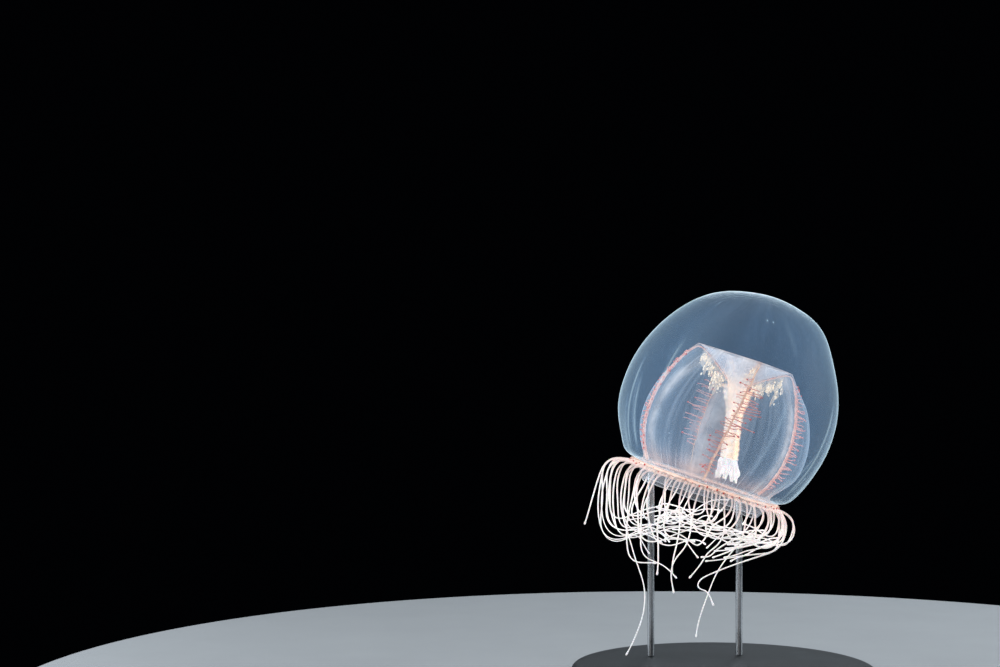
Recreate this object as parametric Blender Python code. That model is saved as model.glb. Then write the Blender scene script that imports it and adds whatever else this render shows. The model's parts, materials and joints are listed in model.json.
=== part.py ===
"""A still, life-size model of a bell medusa (genus Polyorchis) on a plain display stand.

The bell is a thick cup of clear jelly that leans to the right. Four canals with side branches run down its
hollow, a stomach tube hangs in the middle, and a mop of tentacles hangs from the margin. Lengths in this
file are in millimetres until a mesh is made, and angles are in degrees.

Two frames are used. The medusa's own frame has its origin in the middle of the margin and +Z towards the top
of the bell. The row frame has its origin under the middle of the stand, on the floor, and +Z up.
"""

import math
from dataclasses import dataclass

import bmesh
import bpy
import numpy as np
from mathutils import Matrix, Vector

MM = 0.001
SKIN_GAP = 0.3  # left between pieces that touch

# The bell's outside: half an egg above its widest level and part of another below it.
BELL_RADIUS = 30.0
BELL_HEIGHT = 54.5
BELL_WIDEST_AT = 18.0
BELL_LOWER_HEIGHT = 28.1
BELL_FOOT = 0.3  # the underside of the bell's wall
BELL_SIDES = 28

# The hollow under the bell: round at its foot and four-cornered at its roof, with a canal in each corner.
CANALS = 4
CANAL_TURN = 10.0  # how far the first canal is turned from the medusa's +X
CANAL_STRAY = (12.0, 0.0, -2.0, -19.0)  # how far each canal has turned from its corner at its foot
CANAL_STRAY_POWER = 0.6
HOLLOW_RADIUS = 22.1
HOLLOW_WIDEST_AT = 14.0
HOLLOW_UPPER_HEIGHT = 28.2
HOLLOW_LOWER_HEIGHT = 22.2
ROOF_AT = 35.7
ROOF_SQUARENESS = 1.25  # exponent of the roof's outline: 1 is a square and 2 a circle
ROOF_DIP = 9.2
ROOF_DIP_POWER = 1.25
ROOF_INNER_SHARE = 0.25
APEX_CUT = 36.0  # where the thick top is parted from the side
SHOULDER_CUT = 18.0  # where the upper side is parted from the lower side
WALL_STEPS = 9
WALL_CROWDING = 1.3  # brings the wall's rings closer together at its foot

# What hangs in the hollow.
PEDUNCLE_TOP_RADIUS = 3.2
PEDUNCLE_LOW_RADIUS = 2.6
PEDUNCLE_LOW = 21.0
MANUBRIUM_RADIUS = 2.1
MANUBRIUM_NECK_RADIUS = 1.7
MANUBRIUM_LOW = 7.6
MANUBRIUM_SWAY = 5.4  # how far its mouth has swung towards the medusa's +X
MOUTH_LOW = 2.6
MOUTH_RADIUS = 3.3

# Canals, as flat strips on the hollow's wall with teeth for the side branches.
CANAL_WIDTH = 1.3
CANAL_THICKNESS = 0.5
CANAL_OFF_WALL = 0.4
CANAL_TOP = 34.6
CANAL_LOW = 2.0
BRANCH_PAIRS = 12
BRANCH_LENGTH = 4.4
BRANCH_WIDTH = 0.55

# Gonads, as a bar under each corner of the roof with fingers that hang from it.
GONAD_INNER = 5.4
GONAD_OUTER = 12.2
GONAD_WIDTH = 2.4
GONAD_WIDTH_LOSS = 0.3  # the share of its width that the bar has lost at its outer end
GONAD_UNDER_ROOF = 0.8
GONAD_BAR_DEPTH = 0.7
GONAD_FINGERS = 4
GONAD_FINGER_LENGTH = 4.6
GONAD_FINGER_LOSS = 0.45
GONAD_FINGER_INSET = 0.12

# The margin and what hangs from it.
MARGIN_RADIUS = 21.0
MARGIN_THICKNESS = 2.6
MARGIN_AT = -1.3
MARGIN_SIDES = 6
VELUM_TOP_RADIUS = 18.9
VELUM_LOW_RADIUS = 16.6
VELUM_DEPTH = 5.2
VELUM_THICKNESS = 0.5

TENTACLE_PAIRS = 32
TENTACLE_SLOTS = 2 * TENTACLE_PAIRS
TENTACLE_BASE_WIDTH = 0.95
TENTACLE_TIP_WIDTH = 0.72
TENTACLE_SIDES = 3
TENTACLE_RINGS = 10
TRAILING_RINGS = 7
STRAIGHT_WEIGHT = 0.035  # how many radians of bend one straight step counts as, when rings are placed

# How the tentacles are laid out and moved clear of each other.
ROUTE_STEP = 0.8
ROOT_STEPS = 3  # the steps next to a root that stay where they are
TENTACLE_SPACING = 1.5  # the least distance between the middles of two tentacles
SKIN_ROOM = 0.5  # kept between a tentacle's skin and the bell, margin and rods
BASE_ROOM = 2.5  # kept over the stand's base
RELAX_ROUNDS = 90
LAST_STRAIGHT_ROUNDS = 12  # the last rounds, which don't smooth
PUSH_SHARE = 0.3
LONGEST_PUSH = 0.6
SMOOTHING = 0.07

# The stand, and how the medusa is held over it.
BASE_RADIUS = 42.0
BASE_THICKNESS = 6.0
BASE_EDGE = 1.0
BASE_SIDES = 40
ROD_RADIUS = 1.0
ROD_SLOTS = (9, 23)  # the tentacle slots that the rods take
ROD_SIDES = 12
LEAN = 18.4  # how far the top of the bell leans to +X
MARGIN_CENTRE = (-5.0, 0.0, 57.0)  # the middle of the margin, in the row frame


def to_row():
    """The matrix that carries the medusa's own frame into the row frame."""
    return Matrix.Translation(MARGIN_CENTRE) @ Matrix.Rotation(math.radians(LEAN), 4, "Y")


TO_ROW = to_row()
FROM_ROW = TO_ROW.inverted()


# ---------------------------------------------------------------- helpers


def clear_scene():
    for obj in list(bpy.data.objects):
        bpy.data.objects.remove(obj, do_unlink=True)


def finish_of(name, colour, roughness, alpha=1.0, metallic=0.0):
    made = bpy.data.materials.new(name)
    made.use_nodes = True
    shader = made.node_tree.nodes["Principled BSDF"]
    shader.inputs["Base Color"].default_value = (*colour, 1.0)
    shader.inputs["Roughness"].default_value = roughness
    shader.inputs["Metallic"].default_value = metallic
    shader.inputs["Alpha"].default_value = alpha
    return made


def add_object(name, mesh, finish):
    """Links a mesh that is in millimetres in the row frame as an object in metres."""
    mesh.transform(Matrix.Scale(MM, 4))
    mesh.shade_smooth()
    mesh.materials.append(finish)
    made = bpy.data.objects.new(name, mesh)
    bpy.context.scene.collection.objects.link(made)
    return made


def mesh_of(name, frame, build):
    """Runs build on an empty bmesh, turns the faces outwards and places the result with frame."""
    shape = bmesh.new()
    build(shape)
    bmesh.ops.recalc_face_normals(shape, faces=shape.faces)
    shape.transform(frame)
    mesh = bpy.data.meshes.new(name)
    shape.to_mesh(mesh)
    shape.free()
    return mesh


def loft(shape, rings, close_start=True, close_end=True, endless=False):
    """Joins rings of points with quads. A ring of one point is a pole, and an end ring can get a cap.

    An endless loft joins its last ring to its first, and has no caps.
    """
    made = [[shape.verts.new(point) for point in ring] for ring in rings]
    for first, second in zip(made, made[1:] + made[:1] if endless else made[1:]):
        count = max(len(first), len(second))
        for i in range(count):
            j = (i + 1) % count
            corners = [first[i % len(first)], first[j % len(first)]]
            corners += [second[j % len(second)], second[i % len(second)]]
            shape.faces.new(list(dict.fromkeys(corners)))
    if close_start and not endless and len(made[0]) > 1:
        shape.faces.new(made[0])
    if close_end and not endless and len(made[-1]) > 1:
        shape.faces.new(made[-1])


def circle(radius, height, sides, turn=0.0):
    angles = [math.radians(turn) + 2 * math.pi * i / sides for i in range(sides)]
    return [(radius * math.cos(a), radius * math.sin(a), height) for a in angles]


def smooth_step(low, high, value):
    share = np.clip((np.asarray(value, float) - low) / (high - low), 0.0, 1.0)
    return share * share * (3 - 2 * share)


# ---------------------------------------------------------------- the bell's two surfaces


def bell_radius(height):
    """The outside radius of the bell at a height over its margin."""
    above = height > BELL_WIDEST_AT
    reach = BELL_HEIGHT - BELL_WIDEST_AT if above else BELL_LOWER_HEIGHT
    share = (height - BELL_WIDEST_AT) / reach
    return BELL_RADIUS * math.sqrt(max(0.0, 1 - share * share))


def smooth_corner_radius(height):
    """The radius of the hollow at a height, measured along a canal, before it is faceted."""
    above = height > HOLLOW_WIDEST_AT
    reach = HOLLOW_UPPER_HEIGHT if above else HOLLOW_LOWER_HEIGHT
    share = (height - HOLLOW_WIDEST_AT) / reach
    return HOLLOW_RADIUS * math.sqrt(1 - share * share)


WALL_RISE = ROOF_AT - BELL_FOOT
WALL_HEIGHTS = [
    BELL_FOOT + WALL_RISE * math.sin(math.radians(90.0 * i / WALL_STEPS)) ** WALL_CROWDING
    for i in range(WALL_STEPS + 1)
]
WALL_RADII = [smooth_corner_radius(height) for height in WALL_HEIGHTS]


def corner_radius(height):
    """The radius of the faceted hollow at a height, measured along a canal."""
    return float(np.interp(height, WALL_HEIGHTS, WALL_RADII))


def outline(height, angle):
    """The hollow's radius at an angle as a share of the radius along a canal: 1 in the four corners."""
    rise = float(smooth_step(HOLLOW_WIDEST_AT, ROOF_AT, height))
    power = 2.0 + (ROOF_SQUARENESS - 2.0) * rise
    turned = math.radians(angle - CANAL_TURN)
    sides = abs(math.cos(turned)) ** power + abs(math.sin(turned)) ** power
    return sides ** (-1.0 / power)


def wall_point(height, angle, inwards=0.0):
    """A point on the hollow's wall, or that far inside it."""
    radius = corner_radius(height) * outline(height, angle) - inwards
    turned = math.radians(angle)
    return (radius * math.cos(turned), radius * math.sin(turned), height)


def roof_height(share):
    """The height of the hollow's roof at a share of the way out from the axis: lowest in the middle."""
    return ROOF_AT - ROOF_DIP * (1 - share) ** ROOF_DIP_POWER


def roof_point(share, angle):
    """A point on the hollow's roof at a share of the way out from the axis."""
    radius = share * corner_radius(ROOF_AT) * outline(ROOF_AT, angle)
    turned = math.radians(angle)
    return (radius * math.cos(turned), radius * math.sin(turned), roof_height(share))


BELL_ANGLES = [CANAL_TURN + 360.0 * i / BELL_SIDES for i in range(BELL_SIDES)]


def outer_ring(height):
    """A ring of points round the outside of the bell."""
    return circle(bell_radius(height), height, BELL_SIDES, CANAL_TURN)


def make_bell_band(name, low, high, finish):
    """A ring of the bell's side between two heights, from the outside in to the four-cornered hollow."""
    steps = 3
    inner = [low] + [height for height in WALL_HEIGHTS if low < height < high] + [high]

    def build(shape):
        rings = [outer_ring(high + (low - high) * i / steps) for i in range(steps + 1)]
        rings += [[wall_point(height, angle) for angle in BELL_ANGLES] for height in inner]
        loft(shape, rings, endless=True)

    return add_object(name, mesh_of(name, TO_ROW, build), finish)


def make_bell_apex(finish):
    """The bell's thick top, with the hollow's funnel-shaped roof under it."""
    low = APEX_CUT + SKIN_GAP

    def build(shape):
        start = math.degrees(math.acos((low - BELL_WIDEST_AT) / (BELL_HEIGHT - BELL_WIDEST_AT)))
        steps = 5
        rings = [[(0.0, 0.0, BELL_HEIGHT)]]
        for i in range(1, steps + 1):
            swing = math.radians(start * i / steps)
            rings.append(outer_ring(BELL_WIDEST_AT + (BELL_HEIGHT - BELL_WIDEST_AT) * math.cos(swing)))
        rings.append([wall_point(low, angle, SKIN_GAP) for angle in BELL_ANGLES])
        for share in (0.96, 0.8, 0.5, ROOF_INNER_SHARE):
            rings.append([roof_point(share, angle) for angle in BELL_ANGLES])
        loft(shape, rings)

    return add_object("bell_apex", mesh_of("bell_apex", TO_ROW, build), finish)


def make_velum(finish):
    """The thin collar that narrows the hollow's mouth, blown outwards as a short cone."""
    slope = math.hypot(VELUM_DEPTH, VELUM_TOP_RADIUS - VELUM_LOW_RADIUS)
    inwards = VELUM_THICKNESS * VELUM_DEPTH / slope
    top = BELL_FOOT - SKIN_GAP

    def build(shape):
        rings = [
            circle(VELUM_TOP_RADIUS, top, BELL_SIDES),
            circle(VELUM_LOW_RADIUS, top - VELUM_DEPTH, BELL_SIDES),
            circle(VELUM_LOW_RADIUS - inwards, top - VELUM_DEPTH, BELL_SIDES),
            circle(VELUM_TOP_RADIUS - inwards, top, BELL_SIDES),
        ]
        loft(shape, rings, endless=True)
        bmesh.ops.remove_doubles(shape, verts=shape.verts, dist=1e-4)

    return add_object("velum", mesh_of("velum", TO_ROW, build), finish)


# ---------------------------------------------------------------- what hangs in the hollow


def sway(height):
    """How far the stomach tube's middle has swung towards +X at a height."""
    top = roof_height(ROOF_INNER_SHARE)
    return MANUBRIUM_SWAY * (top - min(height, top)) / (top - MOUTH_LOW)


def lobed_ring(radius, height, lobes, depth, sides, turn):
    """A ring with rounded lobes, such as the ridges of the stomach or the lips."""
    ring = []
    for i in range(sides):
        angle = 360.0 * i / sides + turn
        reach = radius * (1 + depth * math.cos(math.radians(lobes * (angle - turn))))
        turned = math.radians(angle)
        ring.append((sway(height) + reach * math.cos(turned), reach * math.sin(turned), height))
    return ring


def make_peduncle(finish):
    """The cone of jelly under the roof that the stomach hangs from."""
    top = roof_height(ROOF_INNER_SHARE) - SKIN_GAP
    steps = 3
    flare = 0.18

    def build(shape):
        rings = []
        for i in range(steps + 1):
            share = i / steps
            height = top + (PEDUNCLE_LOW - top) * share
            radius = PEDUNCLE_TOP_RADIUS + (PEDUNCLE_LOW_RADIUS - PEDUNCLE_TOP_RADIUS) * share
            rings.append(lobed_ring(radius, height, CANALS, flare * (1 - share), 16, CANAL_TURN))
        loft(shape, rings)

    return add_object("peduncle", mesh_of("peduncle", TO_ROW, build), finish)


def make_manubrium(finish):
    """The stomach tube, a little waisted, down to the mouth."""
    steps = 6

    def build(shape):
        rings = []
        for i in range(steps + 1):
            share = i / steps
            height = PEDUNCLE_LOW - SKIN_GAP + (MANUBRIUM_LOW - PEDUNCLE_LOW + SKIN_GAP) * share
            waist = MANUBRIUM_RADIUS - MANUBRIUM_NECK_RADIUS
            radius = MANUBRIUM_RADIUS - waist * math.sin(math.pi * share)
            rings.append(lobed_ring(radius, height, CANALS, 0.08, 12, CANAL_TURN))
        loft(shape, rings)

    return add_object("manubrium", mesh_of("manubrium", TO_ROW, build), finish)


def make_mouth(finish):
    """Four flared lips round a shallow mouth."""
    sides = 24
    top = MANUBRIUM_LOW - SKIN_GAP
    middle = (top + MOUTH_LOW) / 2
    wall = 0.8

    def build(shape):
        rings = [
            lobed_ring(MANUBRIUM_RADIUS, top, CANALS, 0.06, sides, CANAL_TURN),
            lobed_ring(MANUBRIUM_RADIUS * 1.1, middle, CANALS, 0.2, sides, CANAL_TURN),
            lobed_ring(MOUTH_RADIUS, MOUTH_LOW, CANALS, 0.3, sides, CANAL_TURN),
            lobed_ring(MOUTH_RADIUS - wall, MOUTH_LOW, CANALS, 0.34, sides, CANAL_TURN),
            lobed_ring(MANUBRIUM_RADIUS * 0.45, middle, CANALS, 0.2, sides, CANAL_TURN),
        ]
        loft(shape, rings)

    return add_object("mouth", mesh_of("mouth", TO_ROW, build), finish)


def branch_share(row, rows):
    """How long a side branch is, as a share of the longest: short at both ends of its canal."""
    along = (row + 0.5) / rows
    return 0.35 + 0.65 * math.sin(math.pi * along) ** 0.8


def canal_angle(number, height):
    """The angle of a canal at a height: in its corner at the roof, and straying from it lower down."""
    down = max(0.0, 1.0 - height / CANAL_TOP)
    return CANAL_TURN + 360.0 * number / CANALS + CANAL_STRAY[number] * down**CANAL_STRAY_POWER


def make_canal(number, finish):
    """A canal down the hollow's wall as a thin strip, with a tooth on each side for every branch."""
    rows = 2 * BRANCH_PAIRS + 1
    pitch = (CANAL_TOP - CANAL_LOW) / BRANCH_PAIRS

    def row_height(edge):
        """The height of a row's edge: wide gaps and narrow branches by turns."""
        pair, tooth = divmod(edge, 2)
        return CANAL_TOP - pitch * (pair + 0.5) - (BRANCH_WIDTH if tooth else 0.0) + BRANCH_WIDTH / 2

    heights = [CANAL_TOP] + [row_height(edge) for edge in range(rows - 1)] + [CANAL_LOW]

    def side_angle(height, offset):
        return canal_angle(number, height) + math.degrees(offset / corner_radius(height))

    def build(shape):
        layers = []
        for depth in (CANAL_OFF_WALL, CANAL_OFF_WALL + CANAL_THICKNESS):
            found = {}

            def vert(row, offset, depth=depth, found=found):
                key = (row, round(offset, 4))
                if key not in found:
                    place = wall_point(heights[row], side_angle(heights[row], offset), depth)
                    found[key] = shape.verts.new(place)
                return found[key]

            quads = []
            half = CANAL_WIDTH / 2
            for row in range(rows):
                spans = [(-half, half)]
                if row % 2:
                    reach = half + BRANCH_LENGTH * branch_share(row // 2, BRANCH_PAIRS)
                    spans += [(-reach, -half), (half, reach)]
                for left, right in spans:
                    quads.append([(row, left), (row, right), (row + 1, right), (row + 1, left)])
            layers.append((vert, quads))
        edges = {}
        for vert, quads in layers:
            for quad in quads:
                shape.faces.new([vert(*key) for key in quad])
        for quad in layers[0][1]:
            for a, b in zip(quad, quad[1:] + quad[:1]):
                pair = frozenset([(a[0], round(a[1], 4)), (b[0], round(b[1], 4))])
                edges.setdefault(pair, []).append((a, b))
        (outer, _), (inner, _) = layers
        for sides in edges.values():
            if len(sides) == 1:
                a, b = sides[0]
                shape.faces.new([outer(*a), outer(*b), inner(*b), inner(*a)])

    name = f"canal_{number + 1}"
    return add_object(name, mesh_of(name, TO_ROW, build), finish)


def make_gonad(number, finish):
    """A bar under the roof along one canal, with two rows of fingers that hang from it."""
    turned = math.radians(canal_angle(number, ROOF_AT))
    along = Vector((math.cos(turned), math.sin(turned), 0.0))
    across = Vector((-math.sin(turned), math.cos(turned), 0.0))
    rim = corner_radius(ROOF_AT)

    def top_at(radius):
        return roof_height(radius / rim) - GONAD_UNDER_ROOF

    def build(shape):
        steps = GONAD_FINGERS
        tops, lows = [], []
        for i in range(steps + 1):
            radius = GONAD_INNER + (GONAD_OUTER - GONAD_INNER) * i / steps
            width = GONAD_WIDTH * (1 - GONAD_WIDTH_LOSS * i / steps)
            for rows, drop in ((tops, 0.0), (lows, GONAD_BAR_DEPTH)):
                row = []
                for side in (-0.5, 0.0, 0.5):
                    place = along * radius + across * (side * width)
                    row.append(shape.verts.new((place.x, place.y, top_at(radius) - drop)))
                rows.append(row)
        fingers = []
        for i in range(steps):
            for j in range(2):
                shape.faces.new([tops[i][j], tops[i][j + 1], tops[i + 1][j + 1], tops[i + 1][j]])
                quad = [lows[i][j], lows[i][j + 1], lows[i + 1][j + 1], lows[i + 1][j]]
                fingers.append((i, shape.faces.new(quad)))
            for j in (0, 2):
                shape.faces.new([tops[i][j], tops[i + 1][j], lows[i + 1][j], lows[i][j]])
        for i in (0, steps):
            for j in range(2):
                shape.faces.new([tops[i][j], tops[i][j + 1], lows[i][j + 1], lows[i][j]])
        for i, face in fingers:
            length = GONAD_FINGER_LENGTH * (1.0 - GONAD_FINGER_LOSS * i / (steps - 1))
            bmesh.ops.inset_individual(shape, faces=[face], thickness=GONAD_FINGER_INSET)
            for drop, squeeze in ((length * 0.6, 1.05), (length * 0.4, 0.55)):
                made = bmesh.ops.extrude_discrete_faces(shape, faces=[face])
                face = made["faces"][0]
                middle = face.calc_center_median()
                for corner in face.verts:
                    corner.co = middle + (corner.co - middle) * squeeze + Vector((0.0, 0.0, -drop))

    name = f"gonad_{number + 1}"
    return add_object(name, mesh_of(name, TO_ROW, build), finish)


# ---------------------------------------------------------------- tentacles


@dataclass
class Tentacle:
    """How one tentacle lies: out from the margin, down to a level, and then along a few straight legs."""

    slot: int
    arch: float  # how far it stands out before it falls
    level: float  # the height over the floor where it stops falling
    legs: list  # the steps (x, y, z) that it takes after that, in the row frame
    drift: tuple = (0.0, 0.0)  # how far it moves in x and y while it falls


def slot_angle(slot):
    """The angle of a tentacle's root round the margin, in the medusa's own frame."""
    return 360.0 * (slot + 0.5) / TENTACLE_SLOTS


# Those that stand out from the mop, from the far left round the front to the right.
NAMED_TENTACLES = (
    Tentacle(33, 7.6, 52.0, [(-2.6, 0.5, -6.0)], (-1.6, 0.0)),
    Tentacle(34, 6.6, 47.5, [(1.4, -1.0, -2.6), (4.2, -2.0, -0.6), (8.0, -2.5, 2.0), (7.0, -1.0, 1.6)]),
    Tentacle(35, 5.4, 45.0, [(1.6, -1.0, -2.6), (4.0, -1.5, 0.4), (3.0, -0.5, 2.2)]),
    Tentacle(36, 4.0, 47.0, [(2.4, -1.0, -6.5), (3.2, -1.0, -9.5), (0.4, 0.6, -10.5), (-5.2, 0.6, -9.6)]),
    Tentacle(37, 4.8, 49.5, [(2.2, -1.0, -1.4), (6.0, -1.0, 2.0), (5.0, -0.4, 0.4), (5.5, 0.0, -3.0)]),
    Tentacle(38, 3.6, 43.0, [(0.2, -1.0, -5.6), (2.0, -0.5, -1.4), (5.4, -0.6, 0.2)], (-2.2, 0.0)),
    Tentacle(40, 3.4, 44.5, [(0.2, 0.0, -5.6), (1.8, 0.0, -1.8), (4.4, 0.0, -0.4), (2.8, 0.0, -3.4)], (-2, 0)),
    Tentacle(42, 3.0, 42.0, [(-0.3, 0.4, -8.0)], (-1.2, 0.0)),
    Tentacle(44, 3.0, 42.0, [(-0.5, 0.4, -7.5)], (-1.0, 0.0)),
    Tentacle(46, 4.2, 42.5, [(-5.0, 0.5, -5.0), (-1.2, 0.0, -3.4), (1.0, 0.0, -3.8)], (-0.8, 0.0)),
    Tentacle(49, 4.0, 43.5, [(-6.4, 1.0, -5.6), (-3.0, 0.5, -4.6)], (1.0, 0.0)),
    Tentacle(52, 3.6, 42.0, [(-4.5, 0.5, -7.0), (-4.6, 0.5, -9.0), (-1.2, 0.5, -9.0)], (-2.6, 0.0)),
    Tentacle(57, 4.8, 41.0, [(-1.8, -1.0, -2.4), (-10.0, -1.0, -0.4), (-8.0, 0.0, -1.0)]),
    Tentacle(
        59,
        4.6,
        41.5,
        [
            (-3.6, -2.0, -3.0),
            (-12.0, -1.0, -3.0),
            (-9.6, 0.0, -4.2),
            (-0.4, 0.0, -3.2),
            (3.8, 0.0, 1.0),
            (1.0, 0.0, -2.2),
        ],
    ),
)
# Slots whose tentacles are split into lengths.
TRAILING = {36: "trailing_left", 52: "trailing_right", 59: "trailing_loop"}


def hash_share(*numbers):
    """A number from 0 to 1 that depends on these alone, so that the mop is the same each time."""
    value = math.sin(sum(n * k for n, k in zip(numbers, (12.9898, 78.233, 37.719)))) * 43758.5453
    return value - math.floor(value)


def turned_about_z(vector, angle):
    return Matrix.Rotation(math.radians(angle), 3, "Z") @ vector


def ordinary_tentacle(slot):
    """A tentacle of the mop: it falls, turns up in a loop and then sweeps across under the bell."""
    angle = math.radians(slot_angle(slot))
    inwards = Vector((-math.cos(angle), -math.sin(angle), 0.0))
    chance = [hash_share(slot, n) for n in range(10)]
    sideways = math.sin(angle) ** 2  # 1 at the front and the back, 0 at the left and right ends
    right = math.cos(angle)
    hand = math.copysign(1.0, 0.9 * (chance[0] - 0.5) - math.sin(2 * angle))
    first = turned_about_z(inwards, hand * (20.0 + (50.0 + 45.0 * chance[1]) * sideways))
    second = turned_about_z(first, -hand * (-10.0 + 60.0 * chance[2]))
    arch = 3.6 + 3.8 * chance[3] * (0.4 + 0.6 * (1 - sideways)) - 1.2 * max(0.0, right)
    level = 44.6 + 4.6 * chance[4] + 1.6 * right
    loop = (2.2 + 3.0 * chance[5]) * (0.8 - 0.25 * right)
    tail = (3.0 + 9.5 * chance[6]) * (0.95 + 0.4 * right)
    lift = -4.5 + 9.0 * chance[7]
    legs = [
        (first.x * loop * 0.4, first.y * loop * 0.4, -loop * 0.8),
        (first.x * loop, first.y * loop, -loop * 0.2),
        (first.x * loop, first.y * loop, loop * 0.6),
        (second.x * tail * 0.5, second.y * tail * 0.5, lift * 0.7),
        (second.x * tail * 0.5, second.y * tail * 0.5, lift * 0.3 - 1.4 * chance[8]),
    ]
    sway = (-6.0 + 7.5 * chance[9]) * sideways + (-1.5 + 2.0 * chance[9]) * (1 - sideways)
    drift = (sway, 1.5 * inwards.y)
    return Tentacle(slot, arch, level, legs, drift)


def spline(controls, count):
    """Points on the smooth curve that these control points pull, from the first one to the last."""
    controls = np.asarray(controls, float)
    padded = np.vstack([2 * controls[0] - controls[1], controls, 2 * controls[-1] - controls[-2]])
    spans = len(padded) - 3
    places = np.linspace(0.0, spans, count)
    index = np.minimum(places.astype(int), spans - 1)
    t = (places - index)[:, None]
    a, b, c, d = (padded[index + k] for k in range(4))
    return (
        (1 - t) ** 3 * a + (3 * t**3 - 6 * t**2 + 4) * b + (-3 * t**3 + 3 * t**2 + 3 * t + 1) * c + t**3 * d
    ) / 6


def evenly_spaced(points, step):
    """The same line with its points a step apart."""
    lengths = np.linalg.norm(np.diff(points, axis=0), axis=1)
    along = np.concatenate([[0.0], np.cumsum(lengths)])
    count = max(8, int(round(along[-1] / step)) + 1)
    places = np.linspace(0.0, along[-1], count)
    return np.stack([np.interp(places, along, points[:, k]) for k in range(3)], axis=1)


def first_route(tentacle):
    """A tentacle's line before it is moved clear of its neighbours."""
    turned = math.radians(slot_angle(tentacle.slot))
    own = Vector((math.cos(turned), math.sin(turned), 0.0))
    root = TO_ROW @ Vector((own.x * MARGIN_RADIUS, own.y * MARGIN_RADIUS, MARGIN_AT))
    turn = TO_ROW.to_3x3()
    out = (turn @ own).normalized()
    own_down = turn @ Vector((0.0, 0.0, -1.0))
    down = Vector((0.0, 0.0, -1.0))
    shoulder = root + out * tentacle.arch
    hip = shoulder + out * (0.12 * tentacle.arch) + own_down * 4.0
    drift = Vector((*tentacle.drift, 0.0))
    fall = max(3.0, hip.z - tentacle.level)
    bulge = Vector((4.0 * (hash_share(tentacle.slot, 21) - 0.5), 0.0, 0.0)) * own.y**2
    controls = [
        root,
        root + out * (0.5 * tentacle.arch) - own_down * 0.3,
        shoulder + own_down * 0.6,
        hip,
        hip + down * (fall * 0.5) + drift * 0.5 + bulge,
        hip + down * fall + drift,
    ]
    for leg in tentacle.legs:
        controls.append(controls[-1] + Vector(leg) * 0.5)
        controls.append(controls[-2] + Vector(leg))
    return evenly_spaced(spline([tuple(c) for c in controls], 160), ROUTE_STEP)


def clear_of_hollow(own, room):
    """Moves points out of the velum and the hollow over it, sideways or down, whichever is nearer."""
    radius = np.hypot(own[:, 0], own[:, 1])
    lowest = BELL_FOOT - VELUM_DEPTH - SKIN_GAP - room
    sideways = VELUM_TOP_RADIUS + room - radius
    under = (sideways > 0) & (own[:, 2] > lowest)
    push_out = under & (sideways < own[:, 2] - lowest)
    scale = np.where(push_out, 1 + sideways / np.maximum(radius, 1e-6), 1.0)
    own[:, :2] *= scale[:, None]
    own[:, 2] = np.where(under & ~push_out, lowest, own[:, 2])


def clear_of_foot(own, room):
    """Moves points down from the underside of the bell's wall."""
    radius = np.hypot(own[:, 0], own[:, 1])
    shell = np.array([bell_radius(max(height, 0.0)) for height in own[:, 2]])
    inside = (own[:, 2] > -room) & (own[:, 2] < MARGIN_THICKNESS) & (radius < shell + room)
    own[:, 2] = np.where(inside, -room, own[:, 2])


def clear_of_margin(own, room):
    """Moves points out of the ring of the margin."""
    radius = np.maximum(np.hypot(own[:, 0], own[:, 1]), 1e-6)
    off = np.stack([radius - MARGIN_RADIUS, own[:, 2] - MARGIN_AT], axis=1)
    far = np.maximum(np.linalg.norm(off, axis=1), 1e-6)
    least = MARGIN_THICKNESS / 2 + room
    near = far < least
    moved = off * (least / far)[:, None]
    own[:, :2] *= (np.where(near, MARGIN_RADIUS + moved[:, 0], radius) / radius)[:, None]
    own[:, 2] = np.where(near, MARGIN_AT + moved[:, 1], own[:, 2])


def keep_clear(points, loose):
    """Moves a line's loose points out of the bell, its hollow, the margin, the rods and the base."""
    room = TENTACLE_BASE_WIDTH / 2 + SKIN_ROOM
    inverse = np.array(FROM_ROW)
    forward = np.array(TO_ROW)
    own = points @ inverse[:3, :3].T + inverse[:3, 3]
    clear_of_hollow(own, room)
    clear_of_foot(own, room)
    clear_of_margin(own, room)
    cleared = own @ forward[:3, :3].T + forward[:3, 3]
    for slot in ROD_SLOTS:
        foot = rod_foot(slot)
        off = cleared[:, :2] - np.array([foot.x, foot.y])
        far = np.maximum(np.linalg.norm(off, axis=1), 1e-6)
        cleared[:, :2] += off * np.maximum((ROD_RADIUS + room) / far - 1.0, 0.0)[:, None]
    cleared[:, 2] = np.maximum(cleared[:, 2], BASE_THICKNESS + BASE_ROOM)
    points[loose] = cleared[loose]


def pushes_between(routes):
    """How far each point of each line is pushed by the lines that come too near to it."""
    moves = [np.zeros_like(route) for route in routes]
    starts = np.concatenate([[0], np.cumsum([len(route) for route in routes])])
    everything = np.concatenate(routes)
    for i, route in enumerate(routes[:-1]):
        between = route[:, None, :] - everything[None, starts[i + 1] :, :]
        far = np.sqrt((between**2).sum(axis=2))
        rows, columns = np.nonzero(far < TENTACLE_SPACING)
        close = np.maximum(far[rows, columns], 1e-3)
        push = between[rows, columns] * ((TENTACLE_SPACING - close) / close * PUSH_SHARE)[:, None]
        np.add.at(moves[i], rows, push)
        columns = columns + starts[i + 1]
        owners = np.searchsorted(starts, columns, side="right") - 1
        for other in np.unique(owners):
            mine = owners == other
            np.add.at(moves[other], columns[mine] - starts[other], -push[mine])
    return moves


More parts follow.
